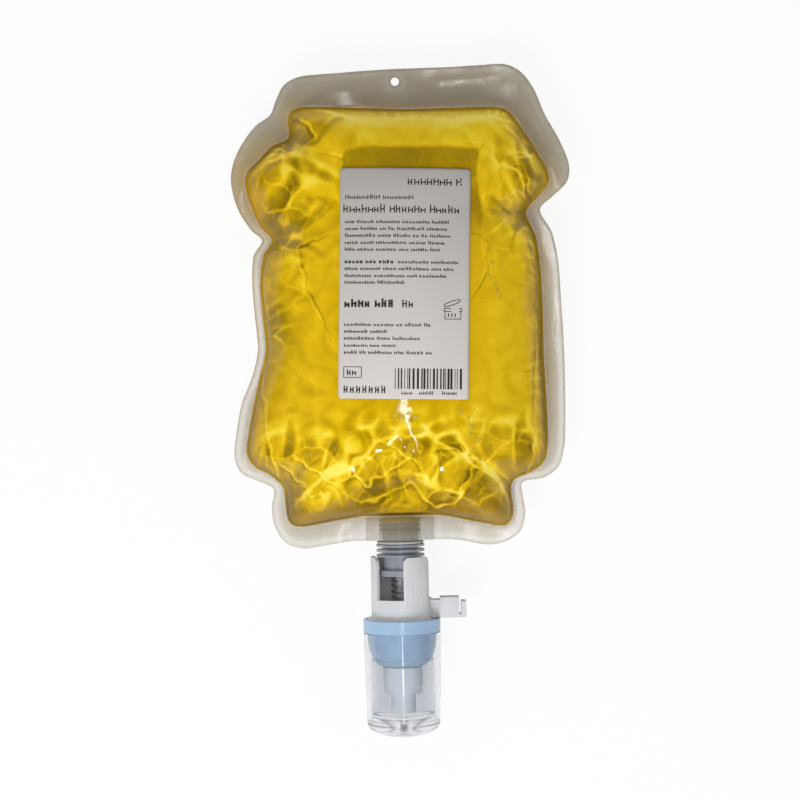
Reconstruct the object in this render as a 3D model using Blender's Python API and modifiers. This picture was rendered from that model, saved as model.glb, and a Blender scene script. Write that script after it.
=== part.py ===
"""Hand soap refill pack: a clear film pouch of liquid soap with a spout, a stroke pump and a transport cap.

The pack lies on its back. +X is to the right and +Y towards the hang hole as the label is read, and +Z is up.
The origin is on the flat back of the pouch, straight under the pump's axis. Everything is in metres.
"""

import math

import bmesh
import bpy
from mathutils import Vector
from mathutils.geometry import intersect_point_line

MM = 0.001
CLEARANCE = 0.3 * MM

# Pouch
SPOUT_LINE_TO_ORIGIN = 112 * MM
POUCH_RISE = 36.5 * MM
FILM_THICKNESS = 0.2 * MM
SOAP_GAP = 0.6 * MM
SOAP_RIM_SHARE = 0.6
SPOUT_GAP = 0.6 * MM
SPOUT_FILM_SPREAD = 1.2
HANG_HOLE_RADIUS = 2.25 * MM
HANG_HOLE_PLACE = (2 * MM, 215 * MM)
SPINE_X = 2 * MM
SPINE_LOW = 56 * MM
SPINE_HIGH = 156 * MM
FLAT_BACK_SHARE = 0.36
RING_SHARES = (0.03, 0.09, 0.20, 0.36, 0.56, 0.78, 0.93)
LONG_SPAN = 14 * MM
BACK_CREASE_SHARE = 0.5
LEAST_CREASED_SHARE = 0.3

# Each row is one place round the pouch, in millimetres from the spout line:
# the film's cut edge (x, y), then the inner edge of the weld beside it (x, y).
BOTTOM_TO_RIGHT = (
    (0, 0, 0, 17),
    (4, 0, 5, 16.5),
    (8, 0, 9.5, 15.5),
    (12, 0, 14, 13.5),
    (16, 0, 18, 11.5),
    (22, 0, 23, 9.5),
    (30, -1, 30, 8),
    (42, -3, 42, 5.5),
    (51, -1, 50, 4.5),
    (57, 4, 54, 8),
    (59, 12, 55, 14),
    (58, 20, 54, 20),
    (58, 26, 55, 26),
)
RIGHT_SIDE = (
    (68, 28, 64, 30),
    (75, 33, 70, 35),
    (78, 42, 72, 43),
    (79, 62, 72, 62),
    (79, 87, 71, 87),
    (78, 111, 71, 111),
    (77, 130, 70, 130),
    (74, 144, 68, 143),
    (69, 154, 64, 153),
    (75, 160, 70, 160),
    (82, 167, 75, 167),
    (83, 175, 74, 174),
    (79, 186, 69, 183),
    (72, 199, 63, 193),
    (67, 211, 58, 200),
)
TOP = (
    (61, 219, 54, 203),
    (54, 222.5, 48, 204),
    (28, 222, 28, 204),
    (2, 221.5, 3, 204),
    (-23, 220, -21, 205),
    (-43, 218.5, -43, 205.5),
    (-50, 215, -49, 203),
    (-54, 208, -50, 198),
)
LEFT_SIDE = (
    (-57, 201, -50, 191),
    (-64, 196, -58, 187),
    (-71, 187, -65, 180),
    (-75, 178, -70, 175),
    (-76, 169, -71, 168),
    (-73, 157, -68, 157),
    (-67, 147, -64, 148),
    (-62, 142, -59, 142),
    (-66, 135, -63, 135),
    (-67, 122, -65, 122),
    (-66, 106, -64, 106),
    (-65, 90, -63, 90),
    (-68, 78, -66, 78),
    (-73, 66, -69, 66),
    (-76, 51, -72, 51),
    (-77, 41, -73, 42),
    (-74, 33, -69, 35),
    (-66, 29, -62, 31),
    (-59, 25, -56, 25),
)
LEFT_TO_BOTTOM = (
    (-60, 17, -55, 17),
    (-59, 8, -54, 10),
    (-54, 0, -51, 6.5),
    (-46, -3, -45, 6),
    (-30, -1, -30, 8.5),
    (-22, 0, -23, 9.5),
    (-16, 0, -18, 11.5),
    (-12, 0, -14, 13.5),
    (-8, 0, -9.5, 15.5),
    (-4, 0, -5, 16.5),
)

# Creases that run into the pouch from its puckers, in millimetres:
# start (x, y), end (x, y), depth and half-width.
CREASES = (
    (-60, 142, -32, 141, 8, 5),
    (66, 153, 38, 148, 8, 5),
    (-57, 25, -36, 40, 7, 5),
    (56, 26, 36, 40, 7, 5),
    (-51, 192, -34, 182, 5, 4),
    (72, 112, 50, 110, 3, 6),
    (-64, 92, -44, 96, 3, 6),
    (-20, 12, -16, 34, 4, 5),
    (24, 10, 20, 32, 4, 5),
)

# Label
LABEL_WIDTH = 59 * MM
LABEL_HEIGHT = 104.5 * MM
LABEL_THICKNESS = 0.15 * MM
LABEL_GAP = 0.6 * MM
LABEL_PLACE = (4.4 * MM, 118.4 * MM)
LABEL_TURN = math.radians(-1.7)

# Spout: a boat-shaped fitment welded between the films, with a round barrel through it
SPOUT_DEPTH = 10.8 * MM
SPOUT_HALF_WIDTH = 16 * MM
SPOUT_TIP_HALF_THICKNESS = 0.8 * MM
SPOUT_WALL = 1.4 * MM

# Pump. Places along the pump are measured from the spout line, away from the pouch.
TURN_STEPS = 32
CYLINDER_RADIUS = 8.5 * MM
CYLINDER_WALL = 0.9 * MM
CYLINDER_END = 16.5 * MM
CYLINDER_FLOOR = 1.2 * MM
END_FLANGE_RADIUS = 10.6 * MM
END_FLANGE_THICKNESS = 2.8 * MM
PLUG_RIB_HEIGHT = 1.1 * MM
RIB_THICKNESS = 1.1 * MM
RIB_PITCH = 2.35 * MM
PLUG_RIB_COUNT = 3
DISC_RIB_COUNT = 3
DISC_RIB_RADIUS = 11.3 * MM
INDEX_LUG_REACH = 3.6 * MM
INDEX_LUG_LENGTH = 4.6 * MM
INDEX_LUG_ANGLE = -41
INDEX_LUG_HALF_ANGLE = 7
GASKET_THICKNESS = 1.1 * MM
GASKET_RADIUS = 10.9 * MM

# Inlet valve
BALL_RADIUS = 2.6 * MM
INLET_PLATE_THICKNESS = 1.4 * MM
INLET_HOLE_RADIUS = 1.9 * MM
RETAINER_THICKNESS = 1.2 * MM
RETAINER_HOLE_RADIUS = 1.3 * MM
RETAINER_HOLE_COUNT = 4
BALL_LIFT = 1.2 * MM

# Piston, rod and spring
ROD_RADIUS = 2.35 * MM
ROD_BORE_RADIUS = 1.2 * MM
ROD_HEAD_RADIUS = 4.2 * MM
ROD_HEAD_THICKNESS = 1.2 * MM
PISTON_HEIGHT = 5 * MM
SEAL_HEIGHT = 1.8 * MM
SEAL_DEPTH = 1.4 * MM
SPRING_COIL_RADIUS = 4.4 * MM
SPRING_WIRE_RADIUS = 0.4 * MM
SPRING_TURNS = 7
SPRING_POINTS_PER_TURN = 12

# Drive sleeve
SLEEVE_RIB_GAP = 1.2 * MM
SLEEVE_WALL = 1.6 * MM
SLEEVE_RADIUS = DISC_RIB_RADIUS + SLEEVE_RIB_GAP + SLEEVE_WALL
SLEEVE_RING_START = 27.3 * MM
SLEEVE_RING_LENGTH = 9.4 * MM
SLEEVE_FLOOR = 1.5 * MM
# The third finger is wide and stands behind the spring.
FINGER_ANGLES = (36, -84, 185)
FINGER_HALF_ANGLES = (31, 31, 55)
FINGER_TIP_ROUNDING = 2 * MM
HOOK_HEIGHT = 1.0 * MM
HOOK_OVERLAP = 0.8 * MM
DRIVE_LUG_WIDTH = 9 * MM
DRIVE_LUG_BLOCK = 9.1 * MM
DRIVE_LUG_TONGUE = 3.1 * MM
DRIVE_LUG_SLOT = 0.9 * MM
DRIVE_LUG_LEDGE = 1.4 * MM
DRIVE_LUG_STEP = 1.6 * MM
DRIVE_LUG_WAIST = 2 * MM

# Outlet bell
BOWL_RADIUS = 16.2 * MM
BELL_RIM_STEP = 1.9 * MM
BELL_RIM_RADIUS = BOWL_RADIUS + BELL_RIM_STEP
BELL_RIM_HEIGHT = 6.1 * MM
BELL_WALL = 1.5 * MM
BOWL_STRAIGHT = 2.5 * MM
BOWL_FOOT_RADIUS = 8.9 * MM
BOWL_DEPTH = 16 * MM
BOWL_STEPS = 5

# Nozzle and outlet valve
NOZZLE_RADIUS = 9.2 * MM
NOZZLE_HEIGHT = 12.4 * MM
NOZZLE_STEP_HEIGHT = 3.6 * MM
NOZZLE_STEP = 0.5 * MM
NOZZLE_TUBE_RADIUS = 5.9 * MM
NOZZLE_TUBE_LENGTH = 9.4 * MM
NOZZLE_WALL = 1.3 * MM
NOZZLE_STEM_RADIUS = 4.6 * MM
NOZZLE_STEM_HEIGHT = 9.5 * MM
SOCKET_DEPTH = 8 * MM
VALVE_FLANGE_THICKNESS = 1 * MM
VALVE_RADIUS = 3.4 * MM
VALVE_LENGTH = 7 * MM
VALVE_WALL = 0.5 * MM
VALVE_LIP_HALF_THICKNESS = 0.8 * MM

# Transport cap
CAP_WALL = 1.3 * MM
CAP_BOWL_GAP = 0.5 * MM
CAP_RADIUS = BOWL_RADIUS + CAP_BOWL_GAP + CAP_WALL
CAP_TAPER = 0.9 * MM
CAP_CUP_RADIUS = 13.9 * MM
CAP_CUP_WALL = 0.9 * MM
CAP_CUP_LIP_GAP = 0.6 * MM
CAP_FLOOR_GAP = 2 * MM
CAP_CORNER_RADIUS = 3.6 * MM
CAP_SKIRT_FOOT = 2.6 * MM
CAP_DOME_HEIGHT = 6.6 * MM
CAP_DOME_STEPS = 5
CAP_SLOT_FLOOR = 1.4 * MM
GATE_WELL_RADIUS = 2.8 * MM
GATE_WELL_DEPTH = 4.6 * MM

# The bell's rim touches the table, which sets the height of the pump's axis. The pouch's seam is level with it.
PUMP_AXIS_Z = BELL_RIM_RADIUS
SEAM_Z = PUMP_AXIS_Z


def start_scene():
    """Empties the scene and gives the collection of the parts and that of the cutters."""
    for thing in list(bpy.data.objects):
        bpy.data.objects.remove(thing, do_unlink=True)
    parts = bpy.data.collections.new("hand_soap_refill_pack")
    cutters = bpy.data.collections.new("cutters")
    for collection in (parts, cutters):
        bpy.context.scene.collection.children.link(collection)
    cutters.hide_render = True
    return parts, cutters


PARTS, CUTTERS = start_scene()


def material(name, colour, roughness, metallic=0.0, alpha=1.0):
    made = bpy.data.materials.new(name)
    made.use_nodes = True
    shader = made.node_tree.nodes["Principled BSDF"]
    shader.inputs["Base Color"].default_value = (*colour, 1)
    shader.inputs["Roughness"].default_value = roughness
    shader.inputs["Metallic"].default_value = metallic
    shader.inputs["Alpha"].default_value = alpha
    return made


CLEAR_FILM = material("clear_film", (0.86, 0.84, 0.80), 0.15, alpha=0.35)
YELLOW_SOAP = material("yellow_soap", (0.80, 0.60, 0.03), 0.1)
LABEL_PAPER = material("label_paper", (0.60, 0.59, 0.57), 0.5)
TRANSLUCENT_PLASTIC = material("translucent_plastic", (0.55, 0.55, 0.60), 0.35, alpha=0.7)
WHITE_PLASTIC = material("white_plastic", (0.72, 0.73, 0.76), 0.4)
BLUE_PLASTIC = material("blue_plastic", (0.32, 0.50, 0.70), 0.35)
CLEAR_PLASTIC = material("clear_plastic", (0.90, 0.91, 0.92), 0.05, alpha=0.3)
SOFT_SEAL = material("soft_seal", (0.45, 0.46, 0.48), 0.6)
SPRING_STEEL = material("spring_steel", (0.55, 0.55, 0.56), 0.3, metallic=1.0)

PUMP_AXIS = bpy.data.objects.new("pump_axis", None)
PUMP_AXIS.location = (0, -SPOUT_LINE_TO_ORIGIN, PUMP_AXIS_Z)
PUMP_AXIS.rotation_euler = (math.radians(90), 0, 0)
PARTS.objects.link(PUMP_AXIS)


def add_object(name, mesh, finish=None, parent=None):
    """A part where a finish is given, and otherwise a cutter."""
    made = bpy.data.objects.new(name, mesh)
    if finish:
        mesh.materials.append(finish)
        PARTS.objects.link(made)
    else:
        made.display_type = "WIRE"
        made.hide_render = True
        CUTTERS.objects.link(made)
    made.parent = parent
    return made


def mesh_from(name, build):
    """A mesh filled by build, which gets an empty bmesh."""
    shape = bmesh.new()
    build(shape)
    mesh = bpy.data.meshes.new(name)
    shape.to_mesh(mesh)
    shape.free()
    return mesh


def combine(target, other, operation):
    modifier = target.modifiers.new(other.name, "BOOLEAN")
    modifier.operation = operation
    modifier.object = other
    modifier.solver = "EXACT"


def turned(name, profile, finish=None):
    """A piece turned about the pump's axis, from a closed outline of (radius, place along the pump)."""
    area = sum(
        r0 * s1 - r1 * s0 for (r0, s0), (r1, s1) in zip(profile, profile[1:] + profile[:1])
    )
    corners = profile if area < 0 else profile[::-1]
    mesh = bpy.data.meshes.new(name)
    edges = [(i, (i + 1) % len(corners)) for i in range(len(corners))]
    on_axis = [i for i, (r, _) in enumerate(corners) if r == 0]
    if len(on_axis) == 2:
        edges = [edge for edge in edges if set(edge) != set(on_axis)]
    mesh.from_pydata([(r, 0, s) for r, s in corners], edges, [])
    made = add_object(name, mesh, finish, PUMP_AXIS)
    screw = made.modifiers.new("turn", "SCREW")
    screw.axis = "Z"
    screw.angle = math.tau
    screw.steps = TURN_STEPS
    screw.render_steps = TURN_STEPS
    screw.use_merge_vertices = True
    screw.merge_threshold = 0.000005
    screw.use_smooth_shade = True
    return made


def pump_box(name, low, high, finish=None, turn=0.0):
    """A box in the pump's axes, turned about them by an angle from the label's side, positive to +X."""

    def build(shape):
        bmesh.ops.create_cube(shape, size=1)
        for vertex in shape.verts:
            vertex.co = Vector(
                [a if c < 0 else b for a, b, c in zip(low, high, vertex.co)]
            )

    made = add_object(name, mesh_from(name, build), finish, PUMP_AXIS)
    made.rotation_euler = (0, 0, math.radians(-turn))
    return made


# Pouch


def catmull_rom(before, start, end, after, share):
    """A smooth in-between value of four neighbouring values."""
    return 0.5 * (
        2 * start
        + (end - before) * share
        + (2 * before - 5 * start + 4 * end - after) * share**2
        + (3 * start - before - 3 * end + after) * share**3
    )


def pouch_outline():
    """The places round the pouch as (cut edge, weld edge) pairs, with a smooth one midway on long spans."""
    rows = [
        tuple(value * MM for value in row)
        for row in BOTTOM_TO_RIGHT + RIGHT_SIDE + TOP + LEFT_SIDE + LEFT_TO_BOTTOM
    ]
    places = []
    count = len(rows)
    for i, row in enumerate(rows):
        places.append(row)
        following = rows[(i + 1) % count]
        if math.dist(row[:2], following[:2]) > LONG_SPAN:
            around = zip(rows[i - 1], row, following, rows[(i + 2) % count])
            places.append(tuple(catmull_rom(*values, 0.5) for values in around))
    lift = -SPOUT_LINE_TO_ORIGIN
    return [
        (Vector((x, y + lift)), Vector((weld_x, weld_y + lift)))
        for x, y, weld_x, weld_y in places
    ]


def spout_bore_radius():
    return CYLINDER_RADIUS + PLUG_RIB_HEIGHT + CLEARANCE


def spout_half_thickness(x):
    """Half the boat's thickness at a place across it: round over the barrel, then straight to the tip."""
    barrel = spout_bore_radius() + SPOUT_WALL
    reach = math.hypot(SPOUT_HALF_WIDTH, SPOUT_TIP_HALF_THICKNESS)
    tip_angle = math.atan2(SPOUT_TIP_HALF_THICKNESS, SPOUT_HALF_WIDTH)
    touch_angle = tip_angle + math.acos(barrel / reach)
    touch_x = barrel * math.cos(touch_angle)
    touch_z = barrel * math.sin(touch_angle)
    if abs(x) <= touch_x:
        return math.sqrt(barrel**2 - x**2)
    share = (abs(x) - touch_x) / (SPOUT_HALF_WIDTH - touch_x)
    return max(0.0, touch_z + (SPOUT_TIP_HALF_THICKNESS - touch_z) * share)


def crease_depth(place):
    """How far the creases pull the film in at a place on the pouch."""
    depth = 0.0
    for start_x, start_y, end_x, end_y, most, half_width in CREASES:
        start = Vector((start_x * MM, start_y * MM - SPOUT_LINE_TO_ORIGIN))
        end = Vector((end_x * MM, end_y * MM - SPOUT_LINE_TO_ORIGIN))
        nearest, share = intersect_point_line(place, start, end)
        share = min(max(share, 0.0), 1.0)
        nearest = start.lerp(end, share)
        fade = math.exp(-(((place - nearest.to_2d()).length / (half_width * MM)) ** 2))
        depth += most * MM * fade * (1 - share)
    return depth


def pouch_height(place, share, at_weld, front):
    """How far the film's inner face is from the seam's level, at a share of the way from weld to spine."""
    if front:
        rise = POUCH_RISE * (1 - (1 - share) ** 2.4) ** 0.62
    else:
        flat = min(share / FLAT_BACK_SHARE, 1.0)
        rise = (SEAM_Z - FILM_THICKNESS) * (1 - (1 - flat) ** 2.2) ** 0.6
    pull = crease_depth(place)
    if not front:
        pull *= BACK_CREASE_SHARE * (1 - flat)
    rise = max(rise - pull, LEAST_CREASED_SHARE * rise)
    over_spout = 0.0
    by_spout = at_weld.y < 2 * SPOUT_DEPTH - SPOUT_LINE_TO_ORIGIN
    if by_spout and abs(place.x) < SPOUT_FILM_SPREAD * SPOUT_HALF_WIDTH:
        over_spout = spout_half_thickness(place.x) + SPOUT_GAP
    return max(rise, over_spout, CLEARANCE / 2)


def pouch_rings(front):
    """Rings of points on the inner face of one film, from its cut edge to the flat middle."""
    side = 1 if front else -1
    outline = pouch_outline()
    rings = []
    for share in (None, 0.0) + RING_SHARES:
        ring = []
        for edge, weld in outline:
            spine_y = min(max(weld.y, SPINE_LOW - SPOUT_LINE_TO_ORIGIN), SPINE_HIGH - SPOUT_LINE_TO_ORIGIN)
            spine = Vector((SPINE_X, spine_y))
            place = edge if share is None else weld.lerp(spine, share)
            height = pouch_height(place, share or 0.0, weld, front)
            ring.append(Vector((*place, SEAM_Z + side * height)))
        rings.append(ring)
    if front:
        level = max(point.z for point in rings[-1])
        for point in rings[-1]:
            point.z = level
    return rings


def add_rings(shape, rings, flip=False, close_middle=True, first_row=None):
    """Faces between rings of as many points each, all split one way so that near sheets stay parallel."""
    rows = [first_row] if first_row else []
    rows += [[shape.verts.new(point) for point in ring] for ring in rings]
    count = len(rows[0])
    for outer, inner in zip(rows, rows[1:]):
        for i in range(count):
            j = (i + 1) % count
            for corners in ((outer[i], outer[j], inner[j]), (outer[i], inner[j], inner[i])):
                shape.faces.new(corners[::-1] if flip else corners)
    if close_middle:
        shape.faces.new(rows[-1][::-1] if flip else rows[-1])
    return rows


def film(name, front):
    rings = pouch_rings(front)

    def build(shape):
        add_rings(shape, rings, flip=not front)

    made = add_object(name, mesh_from(name, build), CLEAR_FILM)
    wall = made.modifiers.new("wall", "SOLIDIFY")
    wall.thickness = FILM_THICKNESS
    wall.offset = 1
    return made


def make_pouch():
    front_film = film("front_film", True)
    back_film = film("back_film", False)

    def build_hole(shape):
        bmesh.ops.create_cone(
            shape,
            cap_ends=True,
            segments=24,
            radius1=HANG_HOLE_RADIUS,
            radius2=HANG_HOLE_RADIUS,
            depth=SEAM_Z,
        )

    hole = add_object("hang_hole_cutter", mesh_from("hang_hole_cutter", build_hole))
    hole.location = (HANG_HOLE_PLACE[0], HANG_HOLE_PLACE[1] - SPOUT_LINE_TO_ORIGIN, SEAM_Z)
    for panel in (front_film, back_film):
        combine(panel, hole, "DIFFERENCE")
    return front_film


def inset(rings, distance):
    """The rings moved along the surface's inward normal, found from the points around each one."""
    count = len(rings[0])
    moved = []
    for k, ring in enumerate(rings):
        new_ring = []
        for i, point in enumerate(ring):
            along = ring[(i + 1) % count] - ring[i - 1]
            across = rings[min(k + 1, len(rings) - 1)][i] - rings[k - 1][i]
            normal = along.cross(across).normalized()
            new_ring.append(point - normal * distance)
        moved.append(new_ring)
    return moved


def make_soap():
    """The soap fills the pouch inside the weld, a clearance in from both films."""
    upper = inset(pouch_rings(True), SOAP_GAP)[2:]
    lower = inset(pouch_rings(False), -SOAP_GAP)[2:]
    upper[-1] = [Vector((point.x, point.y, upper[-1][0].z)) for point in upper[-1]]
    rim = []
    for (_, weld), above in zip(pouch_outline(), upper[0]):
        place = weld.lerp(above.to_2d(), SOAP_RIM_SHARE)
        rim.append(Vector((*place, SEAM_Z)))

    def build(shape):
        top = add_rings(shape, [rim] + upper)
        add_rings(shape, lower, flip=True, first_row=top[0])

    return add_object("soap_fill", mesh_from("soap_fill", build), YELLOW_SOAP)


def make_label(front_film):
    """A sheet laid on the front film: a grid dropped on it from above and given the paper's thickness."""

    def build(shape):
        bmesh.ops.create_grid(shape, x_segments=10, y_segments=16, size=0.5)
        for vertex in shape.verts:
            vertex.co = Vector((vertex.co.x * LABEL_WIDTH, vertex.co.y * LABEL_HEIGHT, 0))

    label = add_object("label", mesh_from("label", build), LABEL_PAPER)
    label.location = (LABEL_PLACE[0], LABEL_PLACE[1] - SPOUT_LINE_TO_ORIGIN, SEAM_Z + 2 * POUCH_RISE)
    label.rotation_euler = (0, 0, LABEL_TURN)
    drop = label.modifiers.new("drop", "SHRINKWRAP")
    drop.target = front_film
    drop.wrap_method = "PROJECT"
    drop.use_project_z = True
    drop.use_negative_direction = True
    drop.use_positive_direction = False
    drop.offset = LABEL_GAP
    wall = label.modifiers.new("wall", "SOLIDIFY")
    wall.thickness = LABEL_THICKNESS
    wall.offset = 1
    return label


# Spout and pump cylinder


def make_spout():
    """The boat is an extruded 2D outline, made a mesh so that it can be bored for the pump."""
    steps = 24
    half = [
        (
            -SPOUT_HALF_WIDTH * math.cos(math.pi * i / steps),
            spout_half_thickness(SPOUT_HALF_WIDTH * math.cos(math.pi * i / steps)),
        )
        for i in range(steps + 1)
    ]
    outline = half + [(x, -z) for x, z in reversed(half)]
    curve = bpy.data.curves.new("spout_outline", "CURVE")
    curve.dimensions = "2D"
    curve.fill_mode = "BOTH"
    curve.extrude = SPOUT_DEPTH / 2
    spline = curve.splines.new("POLY")
    spline.points.add(len(outline) - 1)
    for point, (x, y) in zip(spline.points, outline):
        point.co = (x, y, 0, 1)
    spline.use_cyclic_u = True
    drawn = bpy.data.objects.new("spout_outline", curve)
    PARTS.objects.link(drawn)
    graph = bpy.context.evaluated_depsgraph_get()
    mesh = bpy.data.meshes.new_from_object(drawn.evaluated_get(graph))
    bpy.data.objects.remove(drawn)
    shape = bmesh.new()
    shape.from_mesh(mesh)
    bmesh.ops.remove_doubles(shape, verts=shape.verts, dist=0.000001)
    bmesh.ops.recalc_face_normals(shape, faces=shape.faces)
    shape.to_mesh(mesh)
    shape.free()
    mesh.name = "spout"
    spout = add_object("spout", mesh, TRANSLUCENT_PLASTIC, PUMP_AXIS)
    spout.location = (0, 0, -SPOUT_DEPTH / 2)
    bore = turned(
        "spout_bore_cutter",
        [
            (0, SPOUT_DEPTH),
            (spout_bore_radius(), SPOUT_DEPTH),
            (spout_bore_radius(), -2 * SPOUT_DEPTH),
            (0, -2 * SPOUT_DEPTH),
        ],
    )
    combine(spout, bore, "DIFFERENCE")
    return spout


def ribs(first, count, radius, core):
    """Profile points of round ribs one pitch apart, along the outer side towards larger places."""
    points = []
    for i in range(count):
        start = first + i * RIB_PITCH
        points += [
            (core, start),
            (radius, start),
            (radius, start + RIB_THICKNESS),
            (core, start + RIB_THICKNESS),
        ]
    return points


def disc_rib_start():
    return GASKET_THICKNESS + 2 * CLEARANCE


def disc_rib_end():
    return disc_rib_start() + (DISC_RIB_COUNT - 1) * RIB_PITCH + RIB_THICKNESS


def cylinder_bore():
    return CYLINDER_RADIUS - CYLINDER_WALL


def plug_start():
    return -SPOUT_DEPTH + CLEARANCE


def make_pump_cylinder():
    first_plug_rib = plug_start() + RIB_THICKNESS / 2
    outer = [(CYLINDER_RADIUS, plug_start())]
    outer += ribs(first_plug_rib, PLUG_RIB_COUNT, CYLINDER_RADIUS + PLUG_RIB_HEIGHT, CYLINDER_RADIUS)
    outer += ribs(disc_rib_start(), DISC_RIB_COUNT, DISC_RIB_RADIUS, CYLINDER_RADIUS)
    outer += [
        (CYLINDER_RADIUS, CYLINDER_END - END_FLANGE_THICKNESS),
        (END_FLANGE_RADIUS, CYLINDER_END - END_FLANGE_THICKNESS),
        (END_FLANGE_RADIUS, CYLINDER_END),
    ]
    rod_hole = ROD_RADIUS + CLEARANCE
    inlet_top = plug_start()
    inner = [
        (rod_hole, CYLINDER_END),
        (rod_hole, CYLINDER_END - CYLINDER_FLOOR),
        (cylinder_bore(), CYLINDER_END - CYLINDER_FLOOR),
        (cylinder_bore(), inlet_top + INLET_PLATE_THICKNESS),
        (INLET_HOLE_RADIUS, inlet_top + INLET_PLATE_THICKNESS),
        (INLET_HOLE_RADIUS, inlet_top),
    ]
    cylinder = turned("pump_cylinder", outer + inner, TRANSLUCENT_PLASTIC)
    lug_inner = CYLINDER_RADIUS - CYLINDER_WALL / 2
    lug_outer = DISC_RIB_RADIUS + INDEX_LUG_REACH
    lug_half_width = lug_outer * math.sin(math.radians(INDEX_LUG_HALF_ANGLE))
    lug_start = disc_rib_end() - RIB_THICKNESS - RIB_PITCH / 2
    lug = pump_box(
        "index_lug",
        (-lug_half_width, lug_inner, lug_start),
        (lug_half_width, lug_outer, lug_start + INDEX_LUG_LENGTH),
        turn=INDEX_LUG_ANGLE,
    )
    combine(cylinder, lug, "UNION")
    return cylinder


def make_gasket():
    inner = CYLINDER_RADIUS + CLEARANCE
    return turned(
        "neck_gasket",
        [
            (inner, CLEARANCE),
            (GASKET_RADIUS, CLEARANCE),
            (GASKET_RADIUS, CLEARANCE + GASKET_THICKNESS),
            (inner, CLEARANCE + GASKET_THICKNESS),
        ],
        SOFT_SEAL,
    )


def ball_centre():
    """Place along the pump of the ball, which sits on the edge of the inlet hole."""
    reach = BALL_RADIUS + CLEARANCE
    return plug_start() + INLET_PLATE_THICKNESS + math.sqrt(reach**2 - INLET_HOLE_RADIUS**2)


def make_inlet_valve():
    def build_ball(shape):
        bmesh.ops.create_uvsphere(shape, u_segments=16, v_segments=10, radius=BALL_RADIUS)

    ball = add_object("inlet_ball", mesh_from("inlet_ball", build_ball), SPRING_STEEL, PUMP_AXIS)
    ball.data.shade_smooth()
    ball.location = (0, 0, ball_centre())
    radius = cylinder_bore() - CLEARANCE
    start = ball_centre() + BALL_RADIUS + BALL_LIFT
    retainer = turned(
        "ball_retainer",
        [(0, start), (radius, start), (radius, start + RETAINER_THICKNESS), (0, start + RETAINER_THICKNESS)],
        WHITE_PLASTIC,
    )

    def build_hole(shape):
        for i in range(RETAINER_HOLE_COUNT):
            made = bmesh.ops.create_cone(
                shape,
                cap_ends=True,
                segments=16,
                radius1=RETAINER_HOLE_RADIUS,
                radius2=RETAINER_HOLE_RADIUS,
                depth=4 * RETAINER_THICKNESS,
            )
            angle = math.tau * i / RETAINER_HOLE_COUNT
            place = Vector((math.cos(angle), math.sin(angle), 0)) * radius * 0.6
            bmesh.ops.translate(shape, verts=made["verts"], vec=place)

    hole_mesh = mesh_from("retainer_hole_cutter", build_hole)
    holes = add_object("retainer_hole_cutter", hole_mesh, parent=PUMP_AXIS)
    holes.location = (0, 0, start)
    combine(retainer, holes, "DIFFERENCE")


# Piston, rod and spring


def piston_end():
    return CYLINDER_END - CYLINDER_FLOOR - CLEARANCE


def piston_start():
    return piston_end() - PISTON_HEIGHT


def make_piston():
    outer = cylinder_bore() - 2 * CLEARANCE
    inner = ROD_RADIUS + CLEARANCE
    seal_start = piston_start() + (PISTON_HEIGHT - SEAL_HEIGHT) / 2
    seal_end = seal_start + SEAL_HEIGHT
    groove = outer - SEAL_DEPTH
    turned(
        "piston",
        [
            (inner, piston_start()),
            (outer, piston_start()),
            (outer, seal_start - CLEARANCE),
            (groove, seal_start - CLEARANCE),
            (groove, seal_end + CLEARANCE),
            (outer, seal_end + CLEARANCE),
            (outer, piston_end()),
            (inner, piston_end()),
        ],
        WHITE_PLASTIC,
    )
    lip = cylinder_bore() - CLEARANCE
    seat = groove + CLEARANCE
    turned(
        "piston_seal",
        [
            (seat, seal_start),
            (lip, seal_start),
            (lip - SEAL_HEIGHT / 4, (seal_start + seal_end) / 2),
            (lip, seal_end),
            (seat, seal_end),
        ],
        SOFT_SEAL,
    )


def sleeve_floor_start():
    return SLEEVE_RING_START + SLEEVE_RING_LENGTH


def bell_foot():
    """Place of the bell's flat foot, where the nozzle starts."""
    return sleeve_floor_start() + BELL_RIM_HEIGHT + BOWL_DEPTH


def nozzle_top():
    return bell_foot() + CLEARANCE


def socket_start():
    return nozzle_top() - NOZZLE_STEM_HEIGHT


def make_rod():
    head_end = piston_start() - CLEARANCE
    turned(
        "piston_rod",
        [
            (ROD_BORE_RADIUS, head_end - ROD_HEAD_THICKNESS),
            (ROD_HEAD_RADIUS, head_end - ROD_HEAD_THICKNESS),
            (ROD_HEAD_RADIUS, head_end),
            (ROD_RADIUS, head_end),
            (ROD_RADIUS, socket_start() + SOCKET_DEPTH - CLEARANCE),
            (ROD_BORE_RADIUS, socket_start() + SOCKET_DEPTH - CLEARANCE),
        ],
        WHITE_PLASTIC,
    )


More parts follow.
